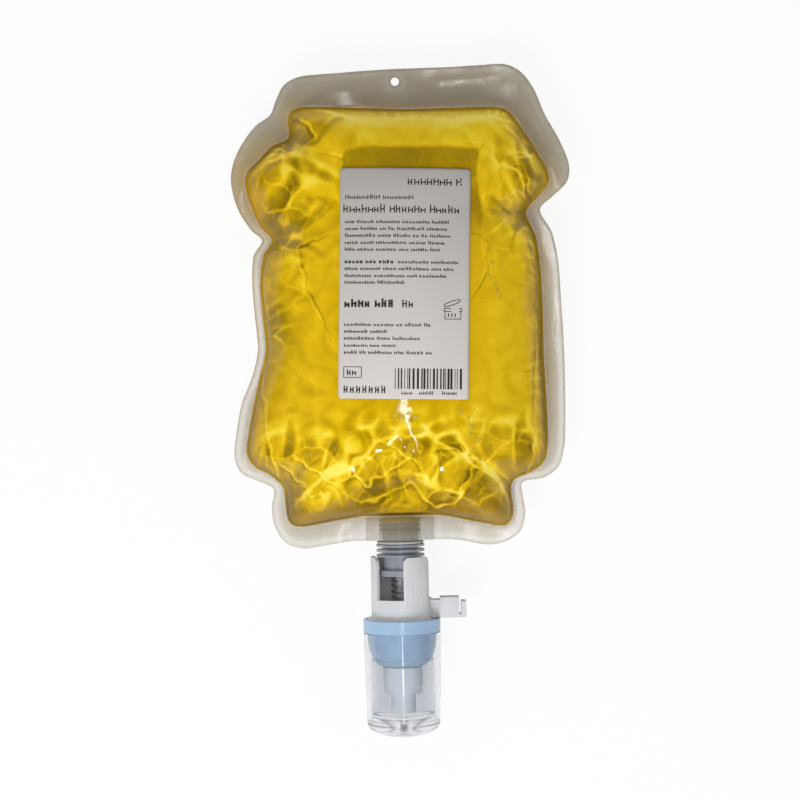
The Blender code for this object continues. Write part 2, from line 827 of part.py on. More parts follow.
def make_spring():
    """The coil runs from the cylinder's end to the sleeve's floor, with a closed turn at each end."""
    low = CYLINDER_END + CLEARANCE + SPRING_WIRE_RADIUS
    high = sleeve_floor_start() - CLEARANCE - SPRING_WIRE_RADIUS
    closed = 2 * SPRING_WIRE_RADIUS + CLEARANCE
    curve = bpy.data.curves.new("return_spring", "CURVE")
    curve.dimensions = "3D"
    curve.bevel_depth = SPRING_WIRE_RADIUS
    curve.bevel_resolution = 2
    curve.use_fill_caps = True
    spline = curve.splines.new("POLY")
    count = SPRING_TURNS * SPRING_POINTS_PER_TURN + 1
    spline.points.add(count - 1)
    for i, point in enumerate(spline.points):
        turns = i / SPRING_POINTS_PER_TURN
        if turns < 1:
            place = low + closed * turns
        elif turns > SPRING_TURNS - 1:
            place = high - closed * (SPRING_TURNS - turns)
        else:
            share = (turns - 1) / (SPRING_TURNS - 2)
            place = low + closed + (high - low - 2 * closed) * share
        angle = math.tau * turns
        x = SPRING_COIL_RADIUS * math.cos(angle)
        y = SPRING_COIL_RADIUS * math.sin(angle)
        point.co = (x, y, place, 1)
    spring = bpy.data.objects.new("return_spring", curve)
    curve.materials.append(SPRING_STEEL)
    PARTS.objects.link(spring)
    spring.parent = PUMP_AXIS
    return spring


# Drive sleeve


def arc_wedge(name, inner, outer, start, end, middle, half_angle, tip_rounding=0.0):
    """A block between two radii and two angles about the pump's axis, with rounded corners at its start."""
    steps = 8
    rows = []
    for i in range(steps + 1):
        across = -1 + 2 * i / steps
        angle = math.radians(middle + half_angle * across)
        arc = outer * math.radians(half_angle) * (1 - abs(across))
        begin = start
        if arc < tip_rounding:
            begin += tip_rounding - math.sqrt(tip_rounding**2 - (tip_rounding - arc) ** 2)
        rows.append((angle, begin))

    def build(shape):
        loops = []
        for angle, begin in rows:
            flat = Vector((math.sin(angle), math.cos(angle), 0))
            loops.append(
                [
                    shape.verts.new(flat * inner + Vector((0, 0, begin))),
                    shape.verts.new(flat * outer + Vector((0, 0, begin))),
                    shape.verts.new(flat * outer + Vector((0, 0, end))),
                    shape.verts.new(flat * inner + Vector((0, 0, end))),
                ]
            )
        for first, second in zip(loops, loops[1:]):
            for i in range(4):
                j = (i + 1) % 4
                shape.faces.new((first[i], first[j], second[j], second[i]))
        shape.faces.new(loops[0][::-1])
        shape.faces.new(loops[-1])
        bmesh.ops.recalc_face_normals(shape, faces=shape.faces)

    return add_object(name, mesh_from(name, build), parent=PUMP_AXIS)


def sleeve_bore():
    return SLEEVE_RADIUS - SLEEVE_WALL


def bell_mouth_radius():
    return BELL_RIM_RADIUS - BELL_WALL


def make_drive_sleeve():
    floor = sleeve_floor_start()
    flange = bell_mouth_radius() - CLEARANCE
    rod_hole = ROD_RADIUS + CLEARANCE
    sleeve = turned(
        "drive_sleeve",
        [
            (sleeve_bore(), SLEEVE_RING_START),
            (SLEEVE_RADIUS, SLEEVE_RING_START),
            (SLEEVE_RADIUS, floor),
            (flange, floor),
            (flange, floor + SLEEVE_FLOOR),
            (rod_hole, floor + SLEEVE_FLOOR),
            (rod_hole, floor),
            (sleeve_bore(), floor),
        ],
        WHITE_PLASTIC,
    )
    sunk = SLEEVE_RING_LENGTH / 4
    hook_end = CYLINDER_END - END_FLANGE_THICKNESS - CLEARANCE
    for i, (angle, half_angle) in enumerate(zip(FINGER_ANGLES, FINGER_HALF_ANGLES)):
        finger = arc_wedge(
            f"finger_{i + 1}",
            sleeve_bore(),
            SLEEVE_RADIUS,
            disc_rib_end(),
            SLEEVE_RING_START + sunk,
            angle,
            half_angle,
            FINGER_TIP_ROUNDING,
        )
        combine(sleeve, finger, "UNION")
        hook = arc_wedge(
            f"hook_{i + 1}",
            END_FLANGE_RADIUS - HOOK_OVERLAP,
            sleeve_bore() + SLEEVE_WALL / 2,
            hook_end - HOOK_HEIGHT,
            hook_end,
            angle,
            half_angle / 3,
        )
        combine(sleeve, hook, "UNION")
    half = DRIVE_LUG_WIDTH / 2
    block_start = SLEEVE_RADIUS + 2 * DRIVE_LUG_WAIST
    slot_place = block_start + DRIVE_LUG_BLOCK
    root = sleeve_bore() + SLEEVE_WALL / 2
    lug_end = floor - CLEARANCE
    box_start = SLEEVE_RING_START - DRIVE_LUG_STEP / 4
    waist = pump_box(
        "drive_lug_waist",
        (root, -half + DRIVE_LUG_WAIST / 2, SLEEVE_RING_START + DRIVE_LUG_STEP / 2),
        (block_start + CLEARANCE, half - DRIVE_LUG_WAIST / 2, lug_end),
    )
    block = pump_box(
        "drive_lug_block",
        (block_start, -half, box_start),
        (slot_place, half, lug_end),
    )
    tongue = pump_box(
        "drive_lug_tongue",
        (slot_place - CLEARANCE, -half, SLEEVE_RING_START + DRIVE_LUG_STEP),
        (slot_place + DRIVE_LUG_TONGUE, half, lug_end),
    )
    slot = pump_box(
        "drive_lug_slot_cutter",
        (slot_place - CLEARANCE / 2, -2 * half, box_start - DRIVE_LUG_STEP),
        (slot_place - CLEARANCE / 2 + DRIVE_LUG_SLOT, 2 * half, lug_end - DRIVE_LUG_LEDGE),
    )
    for piece in (waist, block, tongue):
        combine(sleeve, piece, "UNION")
    combine(sleeve, slot, "DIFFERENCE")
    return sleeve


# Outlet bell, nozzle and valve


def bowl_side(offset):
    """The bowl's quarter-round side, in by an offset, from its straight part to its foot."""
    start = sleeve_floor_start() + BELL_RIM_HEIGHT + BOWL_STRAIGHT
    end = bell_foot() - offset
    points = []
    for i in range(BOWL_STEPS + 1):
        angle = math.pi / 2 * i / BOWL_STEPS
        radius = BOWL_FOOT_RADIUS + (BOWL_RADIUS - offset - BOWL_FOOT_RADIUS) * math.cos(angle)
        points.append((radius, start + (end - start) * math.sin(angle)))
    return points


def make_bell():
    rim_start = sleeve_floor_start()
    ledge = rim_start + SLEEVE_FLOOR + CLEARANCE
    rim_end = rim_start + BELL_RIM_HEIGHT
    stem_hole = NOZZLE_STEM_RADIUS + CLEARANCE
    outer = [(bell_mouth_radius(), rim_start), (BELL_RIM_RADIUS, rim_start), (BELL_RIM_RADIUS, rim_end)]
    outer += [(BOWL_RADIUS, rim_end)] + bowl_side(0)
    inner = [(stem_hole, bell_foot()), (stem_hole, bell_foot() - BELL_WALL)]
    inner += bowl_side(BELL_WALL)[::-1]
    inner += [(BOWL_RADIUS - BELL_WALL, ledge), (bell_mouth_radius(), ledge)]
    return turned("outlet_bell", outer + inner, BLUE_PLASTIC)


def make_nozzle():
    body_end = nozzle_top() + NOZZLE_HEIGHT
    tube_end = body_end + NOZZLE_TUBE_LENGTH
    step = body_end - NOZZLE_STEP_HEIGHT
    bore = NOZZLE_TUBE_RADIUS - NOZZLE_WALL
    seat = nozzle_top() + 2 * NOZZLE_WALL
    rod_socket = ROD_RADIUS + CLEARANCE
    turned(
        "nozzle",
        [
            (NOZZLE_STEM_RADIUS, socket_start()),
            (NOZZLE_STEM_RADIUS, nozzle_top()),
            (NOZZLE_RADIUS, nozzle_top()),
            (NOZZLE_RADIUS, step),
            (NOZZLE_RADIUS - NOZZLE_STEP, step),
            (NOZZLE_RADIUS - NOZZLE_STEP, body_end),
            (NOZZLE_TUBE_RADIUS, body_end),
            (NOZZLE_TUBE_RADIUS, tube_end),
            (bore, tube_end),
            (bore, seat),
            (ROD_BORE_RADIUS, seat),
            (ROD_BORE_RADIUS, socket_start() + SOCKET_DEPTH),
            (rod_socket, socket_start() + SOCKET_DEPTH),
            (rod_socket, socket_start()),
        ],
        WHITE_PLASTIC,
    )
    make_outlet_valve(seat + CLEARANCE + VALVE_WALL, bore - CLEARANCE)


def make_outlet_valve(start, flange_radius):
    """A duckbill: an open sheet given a wall, from a round flange to lips that are squeezed flat."""
    steps = 16
    neck = start + VALVE_FLANGE_THICKNESS
    end = start + VALVE_LENGTH

    def ring(place, half_x, half_y):
        turns = [math.tau * i / steps for i in range(steps)]
        return [Vector((half_x * math.cos(a), half_y * math.sin(a), place)) for a in turns]

    rings = [
        ring(start, flange_radius, flange_radius),
        ring(start + VALVE_WALL, VALVE_RADIUS, VALVE_RADIUS),
        ring(neck, VALVE_RADIUS, VALVE_RADIUS),
        ring((neck + end) / 2, VALVE_RADIUS, (VALVE_RADIUS + VALVE_LIP_HALF_THICKNESS) / 2),
        ring(end, VALVE_RADIUS, VALVE_LIP_HALF_THICKNESS),
    ]
    mesh = mesh_from("outlet_valve", lambda shape: add_rings(shape, rings, close_middle=False))
    valve = add_object("outlet_valve", mesh, SOFT_SEAL, PUMP_AXIS)
    wall = valve.modifiers.new("wall", "SOLIDIFY")
    wall.thickness = VALVE_WALL
    wall.offset = -1
    return valve


# Transport cap


def make_cap():
    """One clear moulding: a skirt with a domed end, and an inner cup that closes on the bell's bowl."""
    skirt_start = sleeve_floor_start() + BELL_RIM_HEIGHT + CLEARANCE
    nozzle_end = nozzle_top() + NOZZLE_HEIGHT + NOZZLE_TUBE_LENGTH
    cup_floor = nozzle_end + CAP_FLOOR_GAP
    cup_outer = CAP_CUP_RADIUS + CAP_CUP_WALL
    foot = CAP_RADIUS - CAP_TAPER
    touch = (CAP_CUP_RADIUS - BOWL_FOOT_RADIUS) / (BOWL_RADIUS - BOWL_FOOT_RADIUS)
    straight_end = skirt_start + BOWL_STRAIGHT - CLEARANCE
    curve_share = math.sqrt(1 - min(touch, 1) ** 2)
    cup_lip = straight_end + (bell_foot() - straight_end) * curve_share + CAP_CUP_LIP_GAP
    skirt_end = cup_floor + CAP_SKIRT_FOOT
    cap_end = skirt_end + CAP_DOME_HEIGHT
    slot_floor = skirt_end - CAP_SLOT_FLOOR
    corner = [
        (
            CAP_CUP_RADIUS - CAP_CORNER_RADIUS * (1 - math.cos(math.pi / 2 * i / 4)),
            cup_floor - CAP_CORNER_RADIUS * (1 - math.sin(math.pi / 2 * i / 4)),
        )
        for i in range(5)
    ]
    dome = [
        (
            foot * math.cos(math.pi / 2 * i / CAP_DOME_STEPS),
            skirt_end + CAP_DOME_HEIGHT * math.sin(math.pi / 2 * i / CAP_DOME_STEPS),
        )
        for i in range(CAP_DOME_STEPS)
    ]
    rim_bore = CAP_RADIUS - CAP_WALL
    outside = [(rim_bore, skirt_start), (CAP_RADIUS, skirt_start)] + dome
    well_floor = cap_end - GATE_WELL_DEPTH
    well = [(GATE_WELL_RADIUS, cap_end), (GATE_WELL_RADIUS, well_floor), (0, well_floor)]
    inside = [(0, cup_floor)] + corner[::-1] + [(CAP_CUP_RADIUS, cup_lip), (cup_outer, cup_lip)]
    inside += [(cup_outer, slot_floor), (foot - CAP_WALL, slot_floor)]
    return turned("transport_cap", outside + well + inside, CLEAR_PLASTIC)


FRONT_FILM = make_pouch()
make_soap()
make_label(FRONT_FILM)
make_spout()
make_gasket()
make_pump_cylinder()
make_inlet_valve()
make_piston()
make_rod()
make_spring()
make_drive_sleeve()
make_bell()
make_nozzle()
make_cap()
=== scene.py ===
"""Looks of a hand soap refill pack: film pouch, soap, label, spout, pump and transport cap.

The pack lies on its back. +X is to the right and +Y from the pump to the hang hole, and +Z is up.
Lengths inside the sections are in millimetres, and meshes are written in metres.
"""

import math

import bmesh
import bpy
import numpy as np
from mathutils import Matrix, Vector, kdtree
from mathutils.bvhtree import BVHTree
from mathutils.geometry import delaunay_2d_cdt


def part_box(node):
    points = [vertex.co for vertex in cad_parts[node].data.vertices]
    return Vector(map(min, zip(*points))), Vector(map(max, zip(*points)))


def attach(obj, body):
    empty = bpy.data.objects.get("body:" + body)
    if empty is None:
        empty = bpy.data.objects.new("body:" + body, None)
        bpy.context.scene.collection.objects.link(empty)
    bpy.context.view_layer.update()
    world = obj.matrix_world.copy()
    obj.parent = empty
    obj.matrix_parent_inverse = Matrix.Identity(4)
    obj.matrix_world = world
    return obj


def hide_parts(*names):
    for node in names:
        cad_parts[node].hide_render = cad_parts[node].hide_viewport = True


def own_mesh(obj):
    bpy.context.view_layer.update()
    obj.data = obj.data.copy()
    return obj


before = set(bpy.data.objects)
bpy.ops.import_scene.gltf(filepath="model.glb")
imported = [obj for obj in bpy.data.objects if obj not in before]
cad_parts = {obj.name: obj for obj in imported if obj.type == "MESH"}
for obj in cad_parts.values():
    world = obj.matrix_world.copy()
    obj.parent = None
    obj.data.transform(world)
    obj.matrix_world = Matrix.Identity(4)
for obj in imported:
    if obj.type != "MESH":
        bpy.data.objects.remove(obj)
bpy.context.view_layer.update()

# The pouch's form
# Two sheets of clear laminate are welded round their edge and bulge over the soap between them.
# The form is kept as rasters over the table: how high each sheet stands at every raster step.
MM = 0.001
RASTER = 0.4
cap_low, cap_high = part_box("transport_cap")
PUMP_Z = (cap_low.z + cap_high.z) / 2 / MM
SEAM_Z = PUMP_Z
spout_low, spout_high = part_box("spout")
SPOUT_LINE, SPOUT_TOP = spout_low.y / MM, spout_high.y / MM
SPOUT_HALF_WIDTH = spout_high.x / MM

film_low, film_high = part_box("front_film")
x_at = np.arange(film_low.x / MM - 3, film_high.x / MM + 3, RASTER)
y_at = np.arange(film_low.y / MM - 3, film_high.y / MM + 3, RASTER)
grid_x, grid_y = np.meshgrid(x_at, y_at)
LEVEL_TOLERANCE = 0.02
CUT_FACE_HEIGHT = 0.3


def merged_copy(node):
    """A CAD node's loose triangles joined into one shape."""
    shape = bmesh.new()
    shape.from_mesh(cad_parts[node].data)
    bmesh.ops.remove_doubles(shape, verts=shape.verts, dist=0.001 * MM)
    return shape


def chained(edges):
    """The runs of points that a set of edges makes, the longest first."""
    beside = {}
    for edge in edges:
        first, second = edge.verts
        beside.setdefault(first, []).append(second)
        beside.setdefault(second, []).append(first)
    runs = []
    while beside:
        ends = [vert for vert, others in beside.items() if len(others) == 1]
        run = [ends[0] if ends else next(iter(beside))]
        while run[-1] in beside:
            onward = [vert for vert in beside.pop(run[-1]) if vert in beside]
            if onward:
                run.append(onward[0])
        runs.append(run)
    return sorted(runs, key=len, reverse=True)


def film_edges():
    """The film's cut edge and the rim of its hang hole, each as points in order."""
    shape = merged_copy("front_film")
    shape.normal_update()
    rim = []
    for face in shape.faces:
        heights = [vert.co.z / MM for vert in face.verts]
        if abs(face.normal.z) < 0.3 and max(heights) - min(heights) < CUT_FACE_HEIGHT:
            rim.append(face)
    level = max(vert.co.z for face in rim for vert in face.verts)
    # A dict keeps the edges in the mesh's own order, so the outline starts at the same corner each run.
    found = dict.fromkeys(
        edge for face in rim for edge in face.edges
        if all(abs(vert.co.z - level) < LEVEL_TOLERANCE * MM for vert in edge.verts)
    )
    runs = [np.array([vert.co[:2] for vert in run]) / MM for run in chained(found)]
    shape.free()
    return runs[0], runs[1]


def soap_rim():
    """The soap's widest outline, where its upper and lower sides meet at the seam's level."""
    shape = merged_copy("soap_fill")
    found = [
        edge for edge in shape.edges
        if all(abs(vert.co.z / MM - SEAM_Z) < LEVEL_TOLERANCE for vert in edge.verts)
    ]
    run = np.array([vert.co[:2] for vert in chained(found)[0]]) / MM
    shape.free()
    return run


def curved(t, span, here, there, leave, arrive):
    """A place on the smooth curve between two points, from its directions at both."""
    ends = (2 * t**3 - 3 * t**2 + 1) * here + (3 * t**2 - 2 * t**3) * there
    return ends + span * ((t**3 - 2 * t**2 + t) * leave + (t**3 - t**2) * arrive)


def smooth_loop(corners, spacing):
    """A smooth closed curve through the corners, with points evenly spaced along it."""
    ahead = np.roll(corners, -1, axis=0) - corners
    spans = np.linalg.norm(ahead, axis=1)
    starts = np.concatenate([[0], np.cumsum(spans)])
    slopes = (ahead + np.roll(ahead, 1, axis=0)) / (spans + np.roll(spans, 1))[:, None]
    count = int(round(starts[-1] / spacing))
    places = np.linspace(0, starts[-1], count, endpoint=False)
    i = np.searchsorted(starts, places, side="right") - 1
    j = (i + 1) % len(corners)
    t = ((places - starts[i]) / spans[i])[:, None]
    return curved(t, spans[i][:, None], corners[i], corners[j], slopes[i], slopes[j])


def nearest_finder(points):
    """A search tree over points on the table."""
    tree = kdtree.KDTree(len(points))
    for i, (x, y) in enumerate(points):
        tree.insert((x, y, 0), i)
    tree.balance()
    return tree


def inside_distance(loop):
    """How far inside a closed loop each raster point is, and how far round it its nearest point is."""
    tree = nearest_finder(loop)
    nearest = np.empty(grid_x.size, int)
    apart = np.empty(grid_x.size)
    for k, (x, y) in enumerate(zip(grid_x.ravel().tolist(), grid_y.ravel().tolist())):
        _, nearest[k], apart[k] = tree.find((x, y, 0))
    crossings = np.zeros(grid_x.shape, int)
    for (x0, y0), (x1, y1) in zip(loop, np.roll(loop, -1, axis=0)):
        if y0 != y1:
            rows = (y_at > min(y0, y1)) & (y_at <= max(y0, y1))
            cut = x0 + (y_at[rows] - y0) * (x1 - x0) / (y1 - y0)
            crossings[rows] += x_at[None, :] < cut[:, None]
    sign = np.where(crossings % 2 == 1, 1.0, -1.0)
    step = np.linalg.norm(loop[1] - loop[0])
    return apart.reshape(grid_x.shape) * sign, nearest.reshape(grid_x.shape) * step


def surface_heights(node, above):
    """The height of a CAD node over each raster point, met from above or from below."""
    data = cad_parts[node].data
    tree = BVHTree.FromPolygons(
        [vert.co for vert in data.vertices], [face.vertices[:] for face in data.polygons]
    )
    start = 0.2 if above else -0.2
    direction = Vector((0, 0, -1 if above else 1))
    heights = np.full(grid_x.size, SEAM_Z)
    for k, (x, y) in enumerate(zip((grid_x * MM).ravel().tolist(), (grid_y * MM).ravel().tolist())):
        hit = tree.ray_cast((x, y, start), direction)[0]
        if hit:
            heights[k] = hit.z / MM
    return heights.reshape(grid_x.shape)


def waves_per_mm():
    """How many waves to a millimetre each term of a raster's Fourier transform stands for."""
    across = np.fft.rfftfreq(len(x_at), RASTER)[None, :]
    along = np.fft.fftfreq(len(y_at), RASTER)[:, None]
    return np.sqrt(across**2 + along**2)


def blurred(field, size):
    """A raster smoothed by a bell curve of that size in millimetres."""
    gain = np.exp(-2 * (math.pi * size * waves_per_mm()) ** 2)
    return np.fft.irfft2(np.fft.rfft2(field) * gain, field.shape)


def ramp(low, high, value):
    """0 below low, 1 above high and a smooth rise between them."""
    t = np.clip((value - low) / (high - low), 0, 1)
    return t * t * (3 - 2 * t)


def sample(field, x, y):
    """A raster's values at points between its own."""
    col = np.clip((x - x_at[0]) / RASTER, 0, len(x_at) - 1.001)
    row = np.clip((y - y_at[0]) / RASTER, 0, len(y_at) - 1.001)
    c, r = col.astype(int), row.astype(int)
    u, v = col - c, row - r
    low = field[r, c] * (1 - u) + field[r, c + 1] * u
    high = field[r + 1, c] * (1 - u) + field[r + 1, c + 1] * u
    return low * (1 - v) + high * v


FILM_EDGE_CORNERS, HANG_HOLE_RIM = film_edges()
SOAP_EDGE_CORNERS = soap_rim()
# The soap fills the pouch down to the top of the spout, where the CAD soap ends in an arch.
rim_x, rim_y = SOAP_EDGE_CORNERS.T
by_spout = (np.abs(rim_x) < SPOUT_HALF_WIDTH + 3) & (rim_y < SPOUT_TOP + 20)
rim_y[by_spout] = np.minimum(rim_y[by_spout], SPOUT_TOP + 0.6)
WELD_OUTSIDE_SOAP = 0.15
WALL_ROUNDING = 4.0
FORM_BLUR = 2.6
in_soap, round_soap = inside_distance(smooth_loop(SOAP_EDGE_CORNERS, RASTER))
in_weld = in_soap + WELD_OUTSIDE_SOAP


def smooth_rise(heights, inside):
    """A sheet's rise from the seam without the CAD model's facets, steep beside the weld."""
    squared = np.where(inside > 0, (heights - SEAM_Z) ** 2, 0)
    steep = np.clip(inside / WALL_ROUNDING, 0, 1)
    bulge = np.sqrt(np.maximum(blurred(squared, FORM_BLUR), 0) * steep)
    mid_spout = np.argmin(np.abs(y_at - (SPOUT_LINE + SPOUT_TOP) / 2))
    over_spout = np.abs(heights[mid_spout] - SEAM_Z) * (np.abs(x_at) < SPOUT_HALF_WIDTH + 6)
    return np.maximum(bulge, over_spout[None, :] * ramp(SPOUT_TOP + 12, SPOUT_TOP + 5, grid_y))


front_rise = smooth_rise(surface_heights("front_film", True), in_weld)
back_drop = smooth_rise(surface_heights("back_film", False), in_weld)

# Folds and wrinkles of the film
# The film can't stretch, so it puckers at the waist and the lower corners and buckles into folds.
# Folds are straight valleys from the puckers, ripples stand square to the weld, and the rest is a
# network of soft dents that is strongest above the spout and in the two upper corners.
LABEL_LOW, LABEL_HIGH = [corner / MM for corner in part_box("label")]
LABEL_TURN = math.radians(-1.7)


def rough(seed, wavelength, spread=0.35):
    """Random ups and downs of about one wavelength in millimetres, with a deviation of 1."""
    noise = np.random.default_rng(seed).standard_normal(grid_x.shape)
    gain = np.exp(-(((waves_per_mm() * wavelength - 1) / spread) ** 2))
    waves = np.fft.irfft2(np.fft.rfft2(noise) * gain, grid_x.shape)
    return waves / waves.std()


def near(x, y, size_x, size_y):
    """1 at a place on the pouch, fading round it."""
    return np.exp(-(((grid_x - x) / size_x) ** 2) - ((grid_y - y) / size_y) ** 2)


def fold(points, depth, width):
    """A valley along a run of points, deepest at its start and gone at its end."""
    total = sum(math.dist(a, b) for a, b in zip(points, points[1:]))
    gone = 0.0
    deepest = np.zeros(grid_x.shape)
    for (x0, y0), (x1, y1) in zip(points, points[1:]):
        length = math.dist((x0, y0), (x1, y1))
        along = ((grid_x - x0) * (x1 - x0) + (grid_y - y0) * (y1 - y0)) / length**2
        share = np.clip(along, 0, 1)
        apart = np.hypot(grid_x - x0 - share * (x1 - x0), grid_y - y0 - share * (y1 - y0))
        fade = 1 - (gone + share * length) / total
        deepest = np.maximum(deepest, fade * np.exp(-np.sqrt((apart / width) ** 2 + 0.05) + 0.22))
        gone += length
    return -depth * deepest


# Each fold: its points on the pouch, its depth and its width.
FOLDS = (
    (((-60, 30), (-46, 31), (-30, 37)), 2.6, 3.0),
    (((-59, 28), (-45, 22), (-34, 12)), 1.6, 2.6),
    (((-58, 34), (-50, 44), (-46, 58)), 1.8, 2.6),
    (((66, 41), (52, 38), (38, 41)), 2.6, 3.0),
    (((66, 40), (54, 48), (44, 58)), 1.9, 2.4),
    (((65, 38), (54, 27), (50, 14)), 1.6, 2.6),
    (((-57, -87), (-46, -80), (-34, -70)), 1.3, 2.0),
    (((-57, -86), (-52, -74), (-52, -58)), 1.8, 2.4),
    (((-55, -90), (-44, -92), (-33, -98)), 1.6, 2.2),
    (((56, -86), (46, -79), (34, -72)), 1.3, 2.0),
    (((57, -84), (52, -72), (55, -56)), 1.8, 2.4),
    (((55, -89), (44, -92), (32, -99)), 1.6, 2.2),
    (((-49, 76), (-38, 70), (-29, 74)), 2.2, 2.4),
    (((-50, 72), (-52, 60), (-46, 48)), 1.4, 2.2),
    (((66, 70), (60, 58), (48, 52)), 1.6, 2.4),
    (((-14, -98), (-11, -84), (-20, -66)), 1.5, 2.4),
    (((14, -98), (12, -86), (22, -70)), 1.5, 2.4),
    (((2, -94), (0, -80), (4, -66)), 1.2, 2.2),
)

FOLD_SHARE = 0.6

in_label_x = np.maximum(LABEL_LOW.x + 1.5 - grid_x, grid_x - LABEL_HIGH.x + 1.5)
in_label_y = np.maximum(LABEL_LOW.y + 1.5 - grid_y, grid_y - LABEL_HIGH.y + 1.5)
under_label = 1 - ramp(-3, 6, np.maximum(in_label_x, in_label_y))
# Where the film is slack: how slack, the place and the size of the slack part.
SLACK_PARTS = (
    (0.62, 4, -80, 58, 17), (0.30, -54, 46, 22, 26), (0.36, 58, 50, 18, 24), (0.12, -52, -10, 14, 46),
    (0.30, -62, 8, 8, 26), (0.30, 66, 14, 7, 24), (0.45, 64, 66, 8, 20),
)
looseness = 0.06 + sum(much * near(*part) for much, *part in SLACK_PARTS)
looseness *= (1 - 0.93 * under_label) * ramp(0, 7, in_soap)
soft_dents = 0.38 * rough(11, 18) + 0.20 * rough(12, 10)
sharp_dents = np.abs(rough(14, 21)) * 0.9 - 0.7
RIPPLE_PITCH = 8.0
ripples = np.sin(2 * math.pi * round_soap / RIPPLE_PITCH + 1.8 * rough(15, 30))
ripples *= np.exp(-np.abs(in_soap - 3) / 4) * ramp(0, 3, in_soap) * (0.5 + 0.5 * np.tanh(rough(16, 45)))
folded = sum(fold(points, depth, width) for points, depth, width in FOLDS)
wrinkles = 0.55 * looseness * (soft_dents + blurred(sharp_dents, 0.8)) + 0.16 * ripples
wrinkles += FOLD_SHARE * blurred(folded, 0.6) * ramp(0, 6, in_weld) * (1 - 0.8 * under_label)
wrinkles += 0.8 * near(7.6, -72, 8, 7)
wrinkles *= np.minimum(front_rise / 6, 1)
calm_rise = blurred(front_rise, 6) + wrinkles
front_rise = np.maximum(front_rise + wrinkles, 0)

off_spout = ramp(2, 16, np.maximum(np.abs(grid_x) - SPOUT_HALF_WIDTH, grid_y - SPOUT_LINE - 20))
seam_sway = 0.5 * rough(17, 70) + 0.05 * rough(18, 22)
# Each weld ridge: its points, its height and its width. They catch the lamps as thin bright lines.
WELD_RIDGES = (
    (((4, 93), (14, 98)), 1.3, 1.5),
    (((23, 103.6), (52, 104.9)), 0.55, 0.55),
    (((-38, 98), (-8, 100)), 0.30, 0.7),
    (((75.2, -17), (78.8, -3)), 0.6, 0.6),
    (((77, -24), (76.4, 14)), 0.4, 0.6),
    (((79, 52), (66, 86)), 0.45, 0.7),
    (((-74, 40), (-70, 66)), 0.45, 0.7),
    (((-72, -84), (-74, -60)), 0.5, 0.7),
    (((-52, -108), (-22, -110)), 0.45, 0.7),
    (((40, -109), (58, -104)), 0.45, 0.7),
)
ridges = sum(fold(points, -height, width) for points, height, width in WELD_RIDGES)
seam_level = SEAM_Z + (seam_sway + blurred(ridges, 0.4)) * off_spout * ramp(8, -4, in_soap)

# Light through the soap
# Light that comes through the dented film is bent, and gathers in bright lines on the back of the
# pouch. Rays are sent down through the front film, bent by the soap, and counted where they land.
# What the eye sees at a place on the front is the count where its own bent line of sight ends.
SOAP_IOR = 1.36
LIGHT_DIRECTION = (0.10, 0.17, -1.0)
RAYS_PER_STEP = 3
LABEL_SHADE = 0.22


def bent_reach(direction, slope_x, slope_y, depth):
    """How far sideways a ray lands after it is bent at the film and falls through the soap."""
    normal = np.stack([-slope_x, -slope_y, np.ones_like(slope_x)])
    normal /= np.linalg.norm(normal, axis=0)
    ray = np.array(direction) / np.linalg.norm(direction)
    ray = ray.reshape(3, *[1] * slope_x.ndim)
    facing = -(normal * ray).sum(axis=0)
    ratio = 1 / SOAP_IOR
    inner = np.sqrt(1 - ratio**2 * (1 - facing**2))
    bent = ratio * ray + (ratio * facing - inner) * normal
    fall = depth / -bent[2]
    return bent[0] * fall, bent[1] * fall


def light_on_back():
    """The count of rays on the back of the pouch, 1 where they fall evenly."""
    slope_y, slope_x = np.gradient(calm_rise, RASTER)
    depth = front_rise + back_drop
    fine_x = np.arange(x_at[0], x_at[-1], RASTER / RAYS_PER_STEP)
    fine_y = np.arange(y_at[0], y_at[-1], RASTER / RAYS_PER_STEP)
    ray_x, ray_y = np.meshgrid(fine_x, fine_y)
    reach_x, reach_y = bent_reach(
        LIGHT_DIRECTION,
        sample(slope_x, ray_x, ray_y),
        sample(slope_y, ray_x, ray_y),
        sample(depth, ray_x, ray_y),
    )
    carried = np.where(sample(in_soap, ray_x, ray_y) > 0, 1.0, 0.0)
    covered = (ray_x > LABEL_LOW.x) & (ray_x < LABEL_HIGH.x) & (ray_y > LABEL_LOW.y) & (ray_y < LABEL_HIGH.y)
    shade = LABEL_SHADE + (0.9 - LABEL_SHADE) * ramp(46, 8, ray_y)
    carried *= np.where(covered, shade, 1.0)
    col = (ray_x + reach_x - x_at[0]) / RASTER
    row = (ray_y + reach_y - y_at[0]) / RASTER
    kept = (col > 0) & (row > 0) & (col < len(x_at) - 2) & (row < len(y_at) - 2)
    col, row, carried = col[kept], row[kept], carried[kept]
    c, r = col.astype(int), row.astype(int)
    u, v = col - c, row - r
    count = np.zeros(grid_x.size)
    for dc, dr, share in (
        (0, 0, (1 - u) * (1 - v)),
        (1, 0, u * (1 - v)),
        (0, 1, (1 - u) * v),
        (1, 1, u * v),
    ):
        spot = (r + dr) * len(x_at) + c + dc
        count += np.bincount(spot, weights=carried * share, minlength=grid_x.size)
    return blurred(count.reshape(grid_x.shape) / RAYS_PER_STEP**2, 0.24)


def seen_from_above(field):
    """A raster on the back of the pouch as it looks through the bent front."""
    slope_y, slope_x = np.gradient(blurred(calm_rise, 0.4), RASTER)
    reach_x, reach_y = bent_reach((0, 0, -1), slope_x, slope_y, front_rise + back_drop)
    return sample(field, grid_x + reach_x, grid_y + reach_y)


bent_x, bent_y = grid_x + 0.45 * rough(44, 9), grid_y + 0.45 * rough(45, 9)


